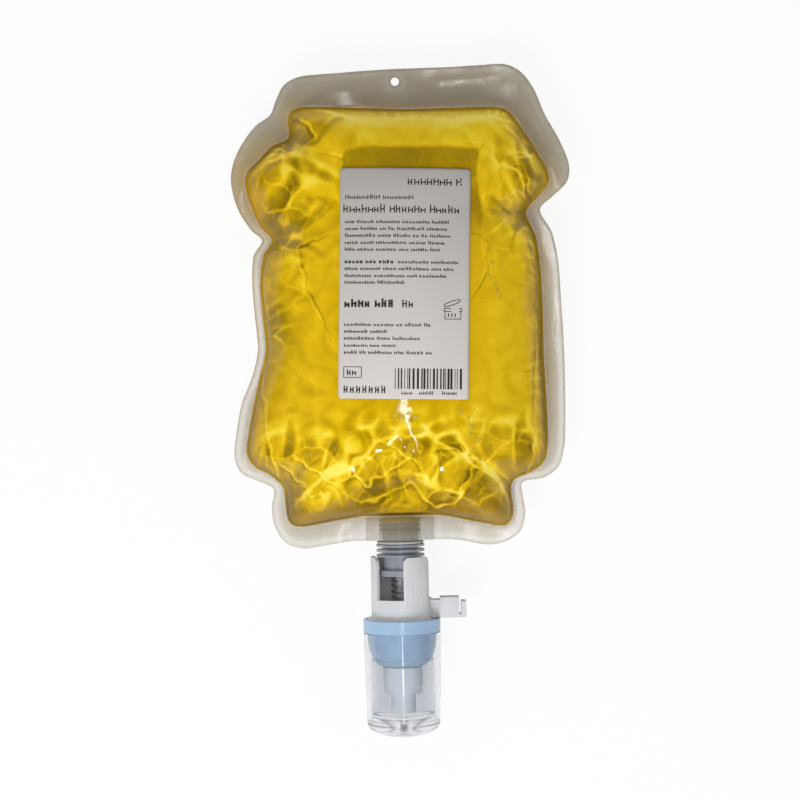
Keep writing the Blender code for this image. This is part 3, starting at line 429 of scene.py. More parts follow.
def crumpled(seed, size):
    """Facets of crumpled film about one size across: the painted shade of each, and the painted bright lines
    between them.
    """
    pick = np.random.default_rng(seed)
    columns = np.arange(x_at[0] - size, x_at[-1] + size, size)
    rows = np.arange(y_at[0] - size, y_at[-1] + size, size)
    spots = np.stack(np.meshgrid(columns, rows), axis=-1).reshape(-1, 2)
    spots = spots + pick.uniform(-0.5, 0.5, spots.shape) * size
    tree = nearest_finder(spots)
    swayed_x = grid_x + 0.10 * size * rough(seed + 1, size)
    swayed_y = grid_y + 0.10 * size * rough(seed + 2, size)
    owner = np.empty(grid_x.size, int)
    gap = np.empty(grid_x.size)
    for k, (x, y) in enumerate(zip(swayed_x.ravel().tolist(), swayed_y.ravel().tolist())):
        (_, owner[k], first), (_, _, second) = tree.find_n((x, y, 0), 2)
        gap[k] = second - first
    away = np.column_stack([swayed_x.ravel(), swayed_y.ravel()]) - spots[owner]
    tilt = pick.uniform(-1.2, 1.2, spots.shape)
    shade = pick.uniform(-0.8, 0.8, len(spots))[owner] + (tilt[owner] * away).sum(axis=1) / size
    line = np.exp(-((gap / 0.75) ** 2)).reshape(grid_x.shape)
    return shade.reshape(grid_x.shape), line * np.clip(0.45 + 0.55 * rough(seed + 3, 1.6 * size), 0, 1.4)


def crease(points, width, drop, rise):
    """A thin line of painted shade with a painted bright one beside it, where the film is pinched along a
    smooth curve.
    """
    corners = np.array(points, float)
    ends = np.vstack([2 * corners[0] - corners[1], corners, 2 * corners[-1] - corners[-2]])
    t = np.linspace(0, 1, 6, endpoint=False)[:, None]
    run = []
    for a, b, c, d in zip(ends, ends[1:], ends[2:], ends[3:]):
        run.append(curved(t, 1, b, c, (c - a) / 2, (d - b) / 2))
    run = np.vstack(run + [corners[-1:]])
    nearest = np.full(grid_x.shape, 99.0)
    aside = np.zeros(grid_x.shape)
    for (x0, y0), (x1, y1) in zip(run, run[1:]):
        length = math.dist((x0, y0), (x1, y1))
        across = ((bent_x - x0) * (y1 - y0) - (bent_y - y0) * (x1 - x0)) / length
        share = np.clip(((bent_x - x0) * (x1 - x0) + (bent_y - y0) * (y1 - y0)) / length**2, 0, 1)
        apart = np.hypot(bent_x - x0 - share * (x1 - x0), bent_y - y0 - share * (y1 - y0))
        closer = apart < nearest
        nearest = np.where(closer, apart, nearest)
        aside = np.where(closer, across, aside)
    faded = 0.7 + 0.3 * np.tanh(1.5 * rough(31, 24))
    dark = np.exp(-((nearest / width) ** 2))
    bright = np.exp(-(((aside - 1.6 * width) / width) ** 2)) * (nearest < 5 * width)
    return faded * (rise * bright - drop * dark)


# Each crease: its points, its width, how dark its line is and how bright the line beside it is.
CREASES = (
    (((-22, 31), (-33.7, 27.6), (-42.9, 25.5), (-42.5, 19.5), (-41.7, 14.1), (-37.9, 0.3), (-29.1, -15.9)),
     0.5, 0.85, 0.55),
    (((34.8, 29.3), (39.4, 27), (42.5, 23.7), (42.3, 15.9), (41.3, 10), (37.9, 3.3), (34.2, -1.2)),
     0.45, 0.8, 0.4),
    (((42.9, -33.8), (52.1, -33.0), (61.2, -34.6)), 0.45, 0.7, 0.5),
    (((63.2, 27.7), (65.7, 16.5), (66.3, -1.2), (65.3, -24.3), (63.9, -47.5), (62.5, -70.7), (59.9, -83.6)),
     0.6, -0.5, -0.5),
    (((-63.4, -21.6), (-62.3, -40.2), (-60.2, -58.8), (-55.9, -80)), 0.6, -0.9, -0.5),
    (((-42.1, 84.4), (-36.7, 80.1), (-35.9, 74.6), (-40.1, 71.4), (-44.3, 69.2)), 0.7, -1.0, -0.6),
    (((-57, 65.2), (-45.9, 68.6), (-33, 68.4), (-23, 64.5)), 0.6, -0.7, -0.4),
    (((49.4, 59.3), (58.6, 61.4), (62.2, 55.4), (63.4, 48.9)), 0.6, -0.9, -0.4),
    (((-53.6, -76.3), (-44.6, -83.9), (-40.1, -90.0), (-35.9, -88.2)), 0.5, -1.3, -0.5),
    (((-47.1, -71.4), (-35.8, -79.9), (-25.8, -87.0), (-17.2, -94.6)), 0.5, -1.3, -0.6),
    (((-25.4, -67.3), (-30.6, -73.6), (-35.7, -79.5)), 0.45, -1.0, -0.4),
    (((-25.5, -73.7), (-17.8, -80.3), (-14.2, -84.5), (-3.0, -77.4), (5.3, -72.5)), 0.5, -1.3, -0.5),
    (((-9.2, -62.5), (-2.8, -67.7), (7.2, -74.4), (12.1, -79.6), (16.8, -74.6)), 0.45, -1.1, -0.4),
    (((16.9, -69.5), (25.2, -68.3), (34.7, -76.8), (41.6, -75.1), (46.4, -68.8), (51.5, -67.0)),
     0.5, -1.3, -0.5),
    (((34.7, -76.8), (31.3, -83.2), (26.6, -91.4)), 0.45, -1.1, -0.4),
    (((41.6, -75.1), (49.7, -83.6), (52.9, -88.7)), 0.45, -1.1, -0.4),
    (((-17.2, -93.7), (-7.9, -91.1), (-1.4, -87.5), (6.0, -84.9), (11.8, -92.4), (18.2, -95.8),
      (26.5, -92.7), (29.9, -88.7)), 0.6, -1.7, -0.7),
    (((21.6, -88.0), (28.9, -89.6), (24.7, -94.5), (18.2, -95.3)), 0.6, -1.4, -0.5),
)

glow = seen_from_above(light_on_back())
glow = np.where(glow > 1, 1 + 1.3 * np.tanh(0.5 * (glow - 1)), 0.36 + 0.64 * glow)
# Painted light and shade of the crumpled film: each facet's shade and the bright lines between the facets,
# strongest where the film is slack. The creases add their own painted dark and bright lines.
large_shade, large_lines = crumpled(61, 15)
small_shade, small_lines = crumpled(71, 8.5)
loose = np.clip(looseness / 0.5, 0, 1)
glow += loose * (0.27 * large_shade + 0.16 * small_shade + 1.2 * large_lines + 0.5 * small_lines)
glow += sum(crease(*made) for made in CREASES) * (1 - under_label)
# Painted shade on the soap's steep side walls and at its lower left corner, and a band of painted light along
# its rim.
painted_wall_shade = ramp(4.6, 2.6, in_soap) * (near(68, -25, 9, 55) + near(-66, -68, 10, 24))
glow *= 1 - 0.35 * painted_wall_shade - 0.4 * near(-46, -99, 16, 9)
glow += 0.9 * np.exp(-np.maximum(in_soap, 0) / 0.8)
# Painted light and shade by place, such as the pale band under the top weld: how much lighter or darker, the
# place and the size.
PAINTED_LIGHT_PARTS = (
    (0.33, 10, 86, 50, 8), (0.16, 46, -20, 14, 36), (-0.55, -40, -98, 27, 8), (-0.42, 38, -98, 24, 7),
    (-0.16, -56, 52, 24, 30),
)
glow = np.clip(glow + sum(much * near(*part) for much, *part in PAINTED_LIGHT_PARTS), 0.1, 4)

# Where the soap looks amber: its thin edge, its corners and the band under the top weld.
AMBER_PARTS = (
    (1.3, -70, 44, 9, 18), (0.8, 38, -98, 26, 7), (0.8, -38, -98.5, 28, 7), (0.8, -70, -62, 6, 16),
    (1.2, 2, 91.5, 60, 2.0),
)
amber = sum(much * near(*part) for much, *part in AMBER_PARTS) * 0.75 * (0.8 + 0.2 * rough(21, 14))
amber = np.clip(amber + 0.12 * np.exp(-np.maximum(in_soap, 0) / 1.6), 0, 1)

# Films
# The front and back of the pouch: 0.2 mm polyethylene laminate, cut out and heat-welded together.
# The weld is a hazy grey-beige border, and over the soap the sheet is clear and soft to the eye.
FILM_THICKNESS = 0.2
WELD_HALF_GAP = 0.15


def linear(hex_colour):
    """An sRGB hex colour as the linear values that a shader takes."""
    parts = [int(hex_colour[i : i + 2], 16) / 255 for i in (1, 3, 5)]
    return tuple(c / 12.92 if c <= 0.04045 else ((c + 0.055) / 1.055) ** 2.4 for c in parts) + (1.0,)


def add_node(owner, kind, inputs=(), **settings):
    """Adds a node with its settings. An input is a value, an output, or a node, for its first live output."""
    tree = getattr(owner, "node_tree", owner)
    made = tree.nodes.new(kind)
    for name, value in settings.items():
        setattr(made, name, value)
    for name, value in dict(inputs).items():
        if isinstance(value, bpy.types.Node):
            value = next(socket for socket in value.outputs if socket.enabled)
        if isinstance(value, bpy.types.NodeSocket):
            tree.links.new(value, made.inputs[name])
        else:
            made.inputs[name].default_value = value
    return made


def scale_for(size):
    """A pattern's scale on object coordinates, from its size in millimetres."""
    return 1 / (size * MM)


def new_material(name):
    """An empty material, and the place on the object that its patterns read."""
    made = bpy.data.materials.new(name)
    made.use_nodes = True
    made.node_tree.nodes.clear()
    return made, add_node(made, "ShaderNodeTexCoord").outputs["Object"]


def laminate_film():
    """Blown laminate film: a soft gloss and a streaky grey-beige weld haze, with painted shade towards the
    top, the soap's painted golden light and a painted highlight on the cut edge.
    """
    film, place = new_material("clear_laminate_film")
    wet = add_node(film, "ShaderNodeAttribute", attribute_name="wet").outputs["Fac"]
    # Painted light: the soap's golden light on the film beside it, and a highlight along the cut edge.
    beside = add_node(film, "ShaderNodeAttribute", attribute_name="soap_light_on_film").outputs["Fac"]
    cut = add_node(film, "ShaderNodeAttribute", attribute_name="rim_highlight").outputs["Fac"]
    along = add_node(film, "ShaderNodeSeparateXYZ", {"Vector": place}).outputs["Y"]
    up = add_node(film, "ShaderNodeMapRange", {
        "Value": along, "From Min": SPOUT_LINE * MM, "From Max": film_high.y})
    stretched = add_node(film, "ShaderNodeMapping", {"Vector": place, "Scale": (1.0, 2.2, 1.0)})
    streaks = add_node(film, "ShaderNodeTexNoise", {
        "Vector": stretched, "Scale": scale_for(16.67), "Detail": 5.0})
    # Painted shade: the weld's haze is darker towards the top of the pouch.
    low = add_node(film, "ShaderNodeMix", {
        0: streaks, 6: linear("#DCD4C4"), 7: linear("#BDB29C")}, data_type="RGBA")
    high = add_node(film, "ShaderNodeMix", {
        0: streaks, 6: linear("#AC9F80"), 7: linear("#857758")}, data_type="RGBA")
    haze = add_node(film, "ShaderNodeMix", {0: up, 6: low, 7: high}, data_type="RGBA")
    # The soap's painted golden light, then the painted edge highlight, laid over the haze.
    golden = add_node(film, "ShaderNodeMix", {0: beside, 6: haze, 7: linear("#B3943C")}, data_type="RGBA")
    pale = add_node(film, "ShaderNodeMix", {0: cut, 6: golden, 7: linear("#EFECE4")}, data_type="RGBA")
    # Painted shade: towards the top the film covers more of the white table and looks darker.
    shade_cover = add_node(film, "ShaderNodeMapRange", {"Value": up, "To Min": 0.335, "To Max": 0.46})
    cover = add_node(film, "ShaderNodeMapRange", {"Value": wet, "To Min": shade_cover, "To Max": 0.004})
    crinkle = add_node(film, "ShaderNodeTexNoise", {"Vector": place, "Scale": scale_for(3.85), "Detail": 2.0})
    bump = add_node(film, "ShaderNodeBump", {"Height": crinkle, "Strength": 0.4, "Distance": 0.00012})
    shader = add_node(film, "ShaderNodeBsdfPrincipled", {
        "Base Color": pale, "Roughness": 0.14, "IOR": 1.5, "Alpha": cover, "Normal": bump})
    add_node(film, "ShaderNodeOutputMaterial", {"Surface": shader})
    return film


def filled_outline(loops, spacing, inside):
    """A flat triangle mesh inside closed loops, the first round the others, with evenly spaced points."""
    points = [tuple(point) for loop in loops for point in loop]
    edges = []
    start = 0
    for loop in loops:
        count = len(loop)
        edges += [(start + i, start + (i + 1) % count) for i in range(count)]
        start += count
    row_height = spacing * math.sqrt(3) / 2
    rows = np.arange(y_at[0], y_at[-1], row_height)
    for k, y in enumerate(rows):
        row = np.arange(x_at[0] + (k % 2) * spacing / 2, x_at[-1], spacing)
        clear = sample(inside, row, np.full(len(row), y)) > 0.6 * spacing
        points += [(x, y) for x in row[clear]]
    found = delaunay_2d_cdt([Vector(point) for point in points], edges, [], 1, 0.0001)
    flat = np.array([tuple(point) for point in found[0]])
    faces = np.array([face[:] for face in found[2]])
    middles = flat[faces].mean(axis=1)
    for hole in loops[1:]:
        centre = hole.mean(axis=0)
        reach = np.linalg.norm(hole - centre, axis=1).mean()
        kept = np.linalg.norm(middles - centre, axis=1) > 0.98 * reach
        faces, middles = faces[kept], middles[kept]
    corner = flat[faces]
    ahead, aside = corner[:, 1] - corner[:, 0], corner[:, 2] - corner[:, 0]
    turned_over = ahead[:, 0] * aside[:, 1] - ahead[:, 1] * aside[:, 0] < 0
    faces[turned_over] = faces[turned_over][:, ::-1]
    return flat, faces


def new_piece(name, points, faces, material):
    """A smooth mesh object from points in millimetres."""
    mesh = bpy.data.meshes.new(name)
    mesh.from_pydata((np.asarray(points) * MM).tolist(), [], [list(map(int, face)) for face in faces])
    mesh.materials.append(material)
    mesh.shade_smooth()
    made = bpy.data.objects.new(name, mesh)
    bpy.context.scene.collection.objects.link(made)
    return made


def add_values(piece, name, values):
    """A named value at each point of a piece, for its material."""
    attribute = piece.data.attributes.new(name, "FLOAT", "POINT")
    attribute.data.foreach_set("value", np.asarray(values, np.float32))


def assign(piece, body, node=None):
    """Says which body a piece rides on, which CAD node it stands for."""
    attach(piece, body)
    if node:
        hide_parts(node)


def give_wall(piece, thickness):
    """Thickens a sheet outwards and makes it a plain mesh."""
    wall = piece.modifiers.new("wall", "SOLIDIFY")
    wall.thickness = thickness * MM
    wall.offset = 1
    apply_modifiers(piece)


def apply_modifiers(piece):
    """Turns a piece and its modifiers into a plain mesh."""
    graph = bpy.context.evaluated_depsgraph_get()
    mesh = bpy.data.meshes.new_from_object(piece.evaluated_get(graph), depsgraph=graph)
    piece.modifiers.clear()
    old = piece.data
    piece.data = mesh
    bpy.data.meshes.remove(old)


FILM_SPACING = 1.15
film_outline = smooth_loop(FILM_EDGE_CORNERS, FILM_SPACING)
in_film, _ = inside_distance(film_outline)
hole_low, hole_high = HANG_HOLE_RIM.min(axis=0), HANG_HOLE_RIM.max(axis=0)
hole_centre = (hole_low + hole_high) / 2
hole_radius = (hole_high - hole_low).mean() / 2
turns = np.linspace(0, math.tau, 32, endpoint=False)
hang_hole = hole_centre + hole_radius * np.column_stack([np.cos(turns), np.sin(turns)])
in_film = np.minimum(in_film, np.hypot(grid_x - hole_centre[0], grid_y - hole_centre[1]) - hole_radius)
film_flat, film_faces = filled_outline([film_outline, hang_hole], FILM_SPACING, in_film)
film_material = laminate_film()

# What the film's material reads: where the sheet lies on soap or on the spout and looks clear, where
# the soap's light is painted golden on it, and a painted highlight along its cut edge.
wet = np.maximum(ramp(-0.25, 0.7, in_soap), 0.85 * near(0, -107, 17, 9)) - 0.45 * near(0, -101, 15, 2.6)
# Painted light: the soap's light, painted golden on the film beside it, most at the left, beside the spout
# and down the right.
painted_soap_light = (0.45 + 0.35 * ramp(-60, 20, grid_y)) * np.exp(np.minimum(in_soap, 0) / 1.6)
painted_soap_light += 0.35 * np.exp(-((in_soap / 5.5) ** 2)) * ramp(-90, 0, grid_y)
painted_soap_light += 0.75 * ramp(20, -40, grid_x) * ramp(-60, 0, grid_y) * ramp(90, 60, grid_y)
painted_soap_light += 0.8 * near(0, -101, 17, 4) + 0.4 * near(74, -25, 10, 65)
# Painted highlight: a pale line just inside the cut edge, stronger towards the bottom.
painted_edge_highlight = 0.85 * np.exp(-(((in_film - 1.9) / 1.3) ** 2)) + 0.3 * np.exp(-(((in_film - 4) / 3) ** 2))
painted_edge_highlight *= 0.2 + 0.8 * ramp(50, 5, grid_y)
FILM_VALUES = (("wet", wet), ("soap_light_on_film", np.minimum(painted_soap_light, 1)), ("rim_highlight", np.minimum(painted_edge_highlight, 1)))


def film_piece(name, side):
    """One sheet, with its inner face on the form and its thickness added outwards."""
    x, y = film_flat.T
    away = front_rise if side > 0 else back_drop
    height = sample(seam_level, x, y) + side * np.maximum(sample(away, x, y), WELD_HALF_GAP)
    if side > 0:
        height -= FILM_THICKNESS * (sample(away, x, y) > 1)
    height = np.maximum(height, FILM_THICKNESS)
    faces = film_faces if side > 0 else film_faces[:, ::-1]
    piece = new_piece(name + "_sheet", np.column_stack([x, y, height]), faces, film_material)
    for value_name, values in FILM_VALUES:
        add_values(piece, value_name, sample(values, x, y))
    give_wall(piece, FILM_THICKNESS)
    assign(piece, "pouch", name)


film_piece("front_film", 1)
film_piece("back_film", -1)

# Soap
# A litre of clear yellow liquid soap fills the pouch and takes the form of the films.
# It is a closed body a hair inside them, with the light that gathers in it painted into its colour.
SOAP_GAP = 0.45
SOAP_TOP_SPACING = 0.62
SOAP_BACK_SPACING = 1.8
SOAP_EDGE_LOW = "#B78E22"
SOAP_EDGE_HIGH = "#DBA40C"
SOAP_STOPS = (
    (0.06, "#7C6200"),
    (0.12, "#9A7C00"),
    (0.20, "#C49E02"),
    (0.28, "#DBB206"),
    (0.40, "#EECB20"),
    (0.60, "#FCE45C"),
    (1.00, "#FFF5A0"),
)
MOST_GLOW = 4.6


def liquid_soap():
    """Clear dyed surfactant gel. Under a gloss the eye sees painted bright lines of light, olive hollows of
    painted shade and amber edges.
    """
    soap, place = new_material("yellow_liquid_soap")
    light = add_node(soap, "ShaderNodeAttribute", attribute_name="glow").outputs["Fac"]
    edge = add_node(soap, "ShaderNodeAttribute", attribute_name="amber").outputs["Fac"]
    cloud = add_node(soap, "ShaderNodeTexNoise", {"Vector": place, "Scale": scale_for(22.2), "Detail": 4.0})
    clouded = add_node(soap, "ShaderNodeMath", {0: cloud, 1: 0.35, 2: light}, operation="MULTIPLY_ADD")
    # Painted light: a network of thin bright lines where the film is slack.
    slack = add_node(soap, "ShaderNodeAttribute", attribute_name="slack").outputs["Fac"]
    swirl = add_node(soap, "ShaderNodeTexNoise", {"Vector": place, "Scale": scale_for(6.25), "Detail": 2.0})
    pushed = add_node(soap, "ShaderNodeVectorMath", {
        0: swirl.outputs["Color"], 1: (0.006, 0.006, 0.006), 2: place}, operation="MULTIPLY_ADD")
    cells = add_node(soap, "ShaderNodeTexVoronoi", {
        "Vector": pushed, "Scale": scale_for(9.52)}, feature="DISTANCE_TO_EDGE")
    thin = add_node(soap, "ShaderNodeMapRange", {
        "Value": cells.outputs["Distance"], "From Max": 0.035, "To Min": 1.0, "To Max": 0.0})
    broken = add_node(soap, "ShaderNodeMapRange", {"Value": cloud, "From Min": 0.46, "From Max": 0.6})
    lines = add_node(soap, "ShaderNodeMath", {0: thin, 1: broken}, operation="MULTIPLY")
    lit = add_node(soap, "ShaderNodeMath", {0: lines, 1: slack, 2: clouded}, operation="MULTIPLY_ADD")
    share = add_node(soap, "ShaderNodeMapRange", {"Value": lit, "From Min": 0.17, "From Max": MOST_GLOW})
    colours = add_node(soap, "ShaderNodeValToRGB", {"Fac": share})
    stops = colours.color_ramp.elements
    while len(stops) < len(SOAP_STOPS):
        stops.new(0.5)
    for stop, (position, colour) in zip(stops, SOAP_STOPS):
        stop.position = position
        stop.color = linear(colour)
    along = add_node(soap, "ShaderNodeSeparateXYZ", {"Vector": place}).outputs["Y"]
    warmer = add_node(soap, "ShaderNodeMapRange", {"Value": along, "From Min": -0.06, "From Max": 0.01})
    thin_tone = add_node(soap, "ShaderNodeMix", {
        0: warmer, 6: linear(SOAP_EDGE_LOW), 7: linear(SOAP_EDGE_HIGH)}, data_type="RGBA")
    body = add_node(soap, "ShaderNodeMix", {0: edge, 6: colours, 7: thin_tone}, data_type="RGBA")
    facing = add_node(soap, "ShaderNodeNewGeometry").outputs["Normal"]
    upward = add_node(soap, "ShaderNodeSeparateXYZ", {"Vector": facing}).outputs["Z"]
    gloss = add_node(soap, "ShaderNodeMapRange", {
        "Value": upward, "From Min": 0.35, "From Max": 0.8, "To Min": 0.12, "To Max": 0.5})
    dimple = add_node(soap, "ShaderNodeTexNoise", {"Vector": place, "Scale": scale_for(8.33), "Detail": 2.0})
    bump = add_node(soap, "ShaderNodeBump", {"Height": dimple, "Strength": 0.12, "Distance": 0.0006})
    shader = add_node(soap, "ShaderNodeBsdfPrincipled", {
        "Base Color": body, "Roughness": 0.06, "IOR": 1.42, "Specular IOR Level": gloss, "Normal": bump})
    add_node(soap, "ShaderNodeOutputMaterial", {"Surface": shader})
    return soap


def soap_side(rim, spacing, side):
    """The points and triangles of the soap's upper or lower side, and which points are on its rim."""
    flat, faces = filled_outline([rim], spacing, in_soap)
    x, y = flat.T
    inward = sample(in_soap, x, y)
    away = sample(front_rise if side > 0 else back_drop, x, y)
    away = np.maximum(away * ramp(0, 2.5, inward) - SOAP_GAP, 0.02)
    on_rim = np.zeros(len(flat), bool)
    on_rim[: len(rim)] = True
    height = sample(seam_level, x, y) + side * np.where(on_rim, 0, away)
    return np.column_stack([x, y, np.maximum(height, SOAP_GAP)]), faces[:, ::side]


def soap_piece():
    """The soap as a fine upper side and a coarser lower one, which share the points of its rim."""
    rim = smooth_loop(SOAP_EDGE_CORNERS, SOAP_TOP_SPACING)
    top, top_faces = soap_side(rim, SOAP_TOP_SPACING, 1)
    back, back_faces = soap_side(rim, SOAP_BACK_SPACING, -1)
    shared = np.concatenate([np.arange(len(rim)), len(top) + np.arange(len(back) - len(rim))])
    points = np.vstack([top, back[len(rim) :]])
    piece = new_piece("soap_body", points, np.vstack([top_faces, shared[back_faces]]), liquid_soap())
    for value_name, values in (("glow", glow), ("amber", amber), ("slack", 0.8 * loose)):
        add_values(piece, value_name, sample(values, points[:, 0], points[:, 1]))
    assign(piece, "pouch", "soap_fill")


soap_piece()

# Air bubbles
# A few bubbles of air are trapped between the soap and the front film, pressed flat against it.
# Geometry Nodes sets one small lens at each place, turned to the film.
BUBBLES = (
    (-1.1, -53, 1.0), (2, -54.4, 1.5), (4.8, -52.2, 1.1), (8, -54.1, 1.4), (28.5, -52.2, 1.3),
    (32.1, -55, 0.9), (33.8, -59.2, 1.4), (32.8, -62.3, 1.0), (36.4, -65.1, 1.2), (34.5, -68.7, 0.9),
    (-44.9, -78.4, 1.3), (32.6, -71.9, 0.8), (37.1, -74.3, 1.0), (42.3, 22.1, 0.8), (44.5, 15.7, 1.1),
    (43, 9.8, 0.9), (46.5, 2.9, 1.2), (47.8, -0.8, 0.8), (45.2, 6.1, 0.7), (-40.2, -70.4, 1.0),
    (-30.9, -63.7, 0.7), (-21.7, -60.3, 0.6), (26, -63.1, 0.8), (22, -58, 0.6), (45, 39, 1.4),
    (50, 41, 1.0),
)
BUBBLE_FIELDS = ((2, -62, 22, 7, 26), (34, -62, 6, 14, 16), (45, 10, 6, 20, 18), (-34, -66, 14, 8, 12),
                 (12, 84, 40, 6, 14))
BUBBLE_FLATNESS = 0.2


def air_bubble():
    """Air in clear soap. The eye sees a ring of painted shade round a middle of painted light, and a small
    glint.
    """
    bubble, place = new_material("trapped_air_bubble")
    turned_away = add_node(bubble, "ShaderNodeLayerWeight", {"Blend": 0.5}).outputs["Facing"]
    cloud = add_node(bubble, "ShaderNodeTexNoise", {"Vector": place, "Scale": scale_for(1.43)})
    # Painted light in the middle and painted shade in a ring, where the surface turns from the eye.
    middle = add_node(bubble, "ShaderNodeMix", {
        0: cloud, 6: linear("#DEC32C"), 7: linear("#E9D45A")}, data_type="RGBA")
    painted_ring_shade = add_node(bubble, "ShaderNodeMix", {
        0: turned_away, 6: middle, 7: linear("#7E6600")}, data_type="RGBA")
    shader = add_node(bubble, "ShaderNodeBsdfPrincipled", {
        "Base Color": painted_ring_shade, "Roughness": 0.05, "IOR": 1.4, "Alpha": 0.55})
    add_node(bubble, "ShaderNodeOutputMaterial", {"Surface": shader})
    return bubble


def geometry_tree(name, sizes):
    """A Geometry Nodes tree with a mesh input and output and one named number input for each size."""
    tree = bpy.data.node_groups.new(name, "GeometryNodeTree")
    tree.interface.new_socket("Geometry", in_out="INPUT", socket_type="NodeSocketGeometry")
    for label in sizes:
        tree.interface.new_socket(label, in_out="INPUT", socket_type="NodeSocketFloat")
    tree.interface.new_socket("Geometry", in_out="OUTPUT", socket_type="NodeSocketGeometry")
    return tree, tree.nodes.new("NodeGroupInput"), tree.nodes.new("NodeGroupOutput")


def finish_tree(tree, end, geometry, material):
    """Smooth shading, real geometry and a material at the end of a tree."""
    real = add_node(tree, "GeometryNodeRealizeInstances", {"Geometry": geometry})
    smooth = add_node(tree, "GeometryNodeSetShadeSmooth", {"Geometry": real})
    given = add_node(tree, "GeometryNodeSetMaterial", {"Geometry": smooth, "Material": material})
    tree.links.new(given.outputs["Geometry"], end.inputs[0])


def grown_piece(name, start, tree, sizes):
    """Runs a tree on a start mesh with its sizes set, and keeps the result as a plain mesh."""
    piece = bpy.data.objects.new(name, start)
    bpy.context.scene.collection.objects.link(piece)
    growth = piece.modifiers.new("growth", "NODES")
    growth.node_group = tree
    for socket in tree.interface.items_tree:
        if socket.in_out == "INPUT" and socket.name in sizes:
            growth[socket.identifier] = sizes[socket.name]
    apply_modifiers(piece)
    return piece


def bubble_piece():
    """All the bubbles as one mesh of small lenses."""
    pick = np.random.default_rng(51)
    places = [list(bubble) for bubble in BUBBLES]
    for x, y, spread_x, spread_y, count in BUBBLE_FIELDS:
        for _ in range(count):
            aside, along = pick.normal(0, 0.5, 2)
            places.append([x + spread_x * aside, y + spread_y * along, pick.uniform(0.22, 0.5)])
    x, y, size = np.array(places).T
    slope_y, slope_x = np.gradient(blurred(front_rise, 0.8), RASTER)
    facing = np.column_stack([-sample(slope_x, x, y), -sample(slope_y, x, y), np.ones(len(x))])
    height = sample(seam_level + front_rise, x, y) - SOAP_GAP
    start = bpy.data.meshes.new("air_bubbles")
    start.from_pydata((np.column_stack([x, y, height]) * MM).tolist(), [], [])
    start.attributes.new("bubble_size", "FLOAT", "POINT").data.foreach_set("value", size.astype(np.float32))
    turned = start.attributes.new("film_facing", "FLOAT_VECTOR", "POINT")
    turned.data.foreach_set("vector", facing.astype(np.float32).ravel())
    tree, given, end = geometry_tree("bubble_lenses", ("Lens radius", "Flatness"))
    lens = add_node(tree, "GeometryNodeMeshIcoSphere", {
        "Radius": given.outputs["Lens radius"], "Subdivisions": 3})
    flat = add_node(tree, "ShaderNodeCombineXYZ", {"X": 1.0, "Y": 1.0, "Z": given.outputs["Flatness"]})
    pressed = add_node(tree, "GeometryNodeTransform", {"Geometry": lens, "Scale": flat})
    grown = add_node(tree, "GeometryNodeInputNamedAttribute", {"Name": "bubble_size"}, data_type="FLOAT")
    film = add_node(tree, "GeometryNodeInputNamedAttribute", {
        "Name": "film_facing"}, data_type="FLOAT_VECTOR")
    leaning = add_node(tree, "FunctionNodeAlignRotationToVector", {"Vector": film}, axis="Z")
    placed = add_node(tree, "GeometryNodeInstanceOnPoints", {
        "Points": given.outputs["Geometry"], "Instance": pressed, "Rotation": leaning, "Scale": grown})
    finish_tree(tree, end, placed, air_bubble())
    piece = grown_piece("air_bubbles", start, tree, {"Lens radius": MM, "Flatness": BUBBLE_FLATNESS})
    assign(piece, "pouch")


bubble_piece()

# Label
# A die-cut paper label, pressed onto the filled pouch, so it follows the front film.
LABEL_THICKNESS = 0.14
LABEL_LIFT = 0.32
LABEL_CORNER = 1.2


def coated_paper():
    """Satin coated label paper. The eye sees a pale grey, darker towards the top as painted shade, with the
    faintest mottle.
    """
    paper, place = new_material("satin_label_paper")
    along = add_node(paper, "ShaderNodeSeparateXYZ", {"Vector": place}).outputs["Y"]
    up = add_node(paper, "ShaderNodeMapRange", {
        "Value": along, "From Min": LABEL_LOW.y * MM, "From Max": LABEL_HIGH.y * MM})
    # Painted shade: the paper is darker towards its top.
    shade = add_node(paper, "ShaderNodeMix", {
        0: up, 6: linear("#D6D0CA"), 7: linear("#A7A39D")}, data_type="RGBA")
    # Paper fibres, drawn coarser than they are so that they show.
    fibre = add_node(paper, "ShaderNodeTexNoise", {"Vector": place, "Scale": scale_for(1.11), "Detail": 3.0})
    speck = add_node(paper, "ShaderNodeMapRange", {"Value": fibre, "To Max": 0.2})
    mottled = add_node(paper, "ShaderNodeMix", {0: speck, 6: shade, 7: linear("#B9B4AE")}, data_type="RGBA")
    bump = add_node(paper, "ShaderNodeBump", {"Height": fibre, "Strength": 0.08, "Distance": 0.0001})
    shader = add_node(paper, "ShaderNodeBsdfPrincipled", {
        "Base Color": mottled, "Roughness": 0.45, "Normal": bump})
    add_node(paper, "ShaderNodeOutputMaterial", {"Surface": shader})
    return paper


def label_frame():
    """The label's centre, width and height, from the CAD label's box and turn."""
    centre = (LABEL_LOW + LABEL_HIGH) / 2
    box_x, box_y = LABEL_HIGH.x - LABEL_LOW.x, LABEL_HIGH.y - LABEL_LOW.y
    c, s = math.cos(LABEL_TURN), abs(math.sin(LABEL_TURN))
    width = (box_x * c - box_y * s) / (c * c - s * s)
    height = (box_y * c - box_x * s) / (c * c - s * s)
    return centre, width, height


LABEL_CENTRE, LABEL_WIDTH, LABEL_HEIGHT = label_frame()


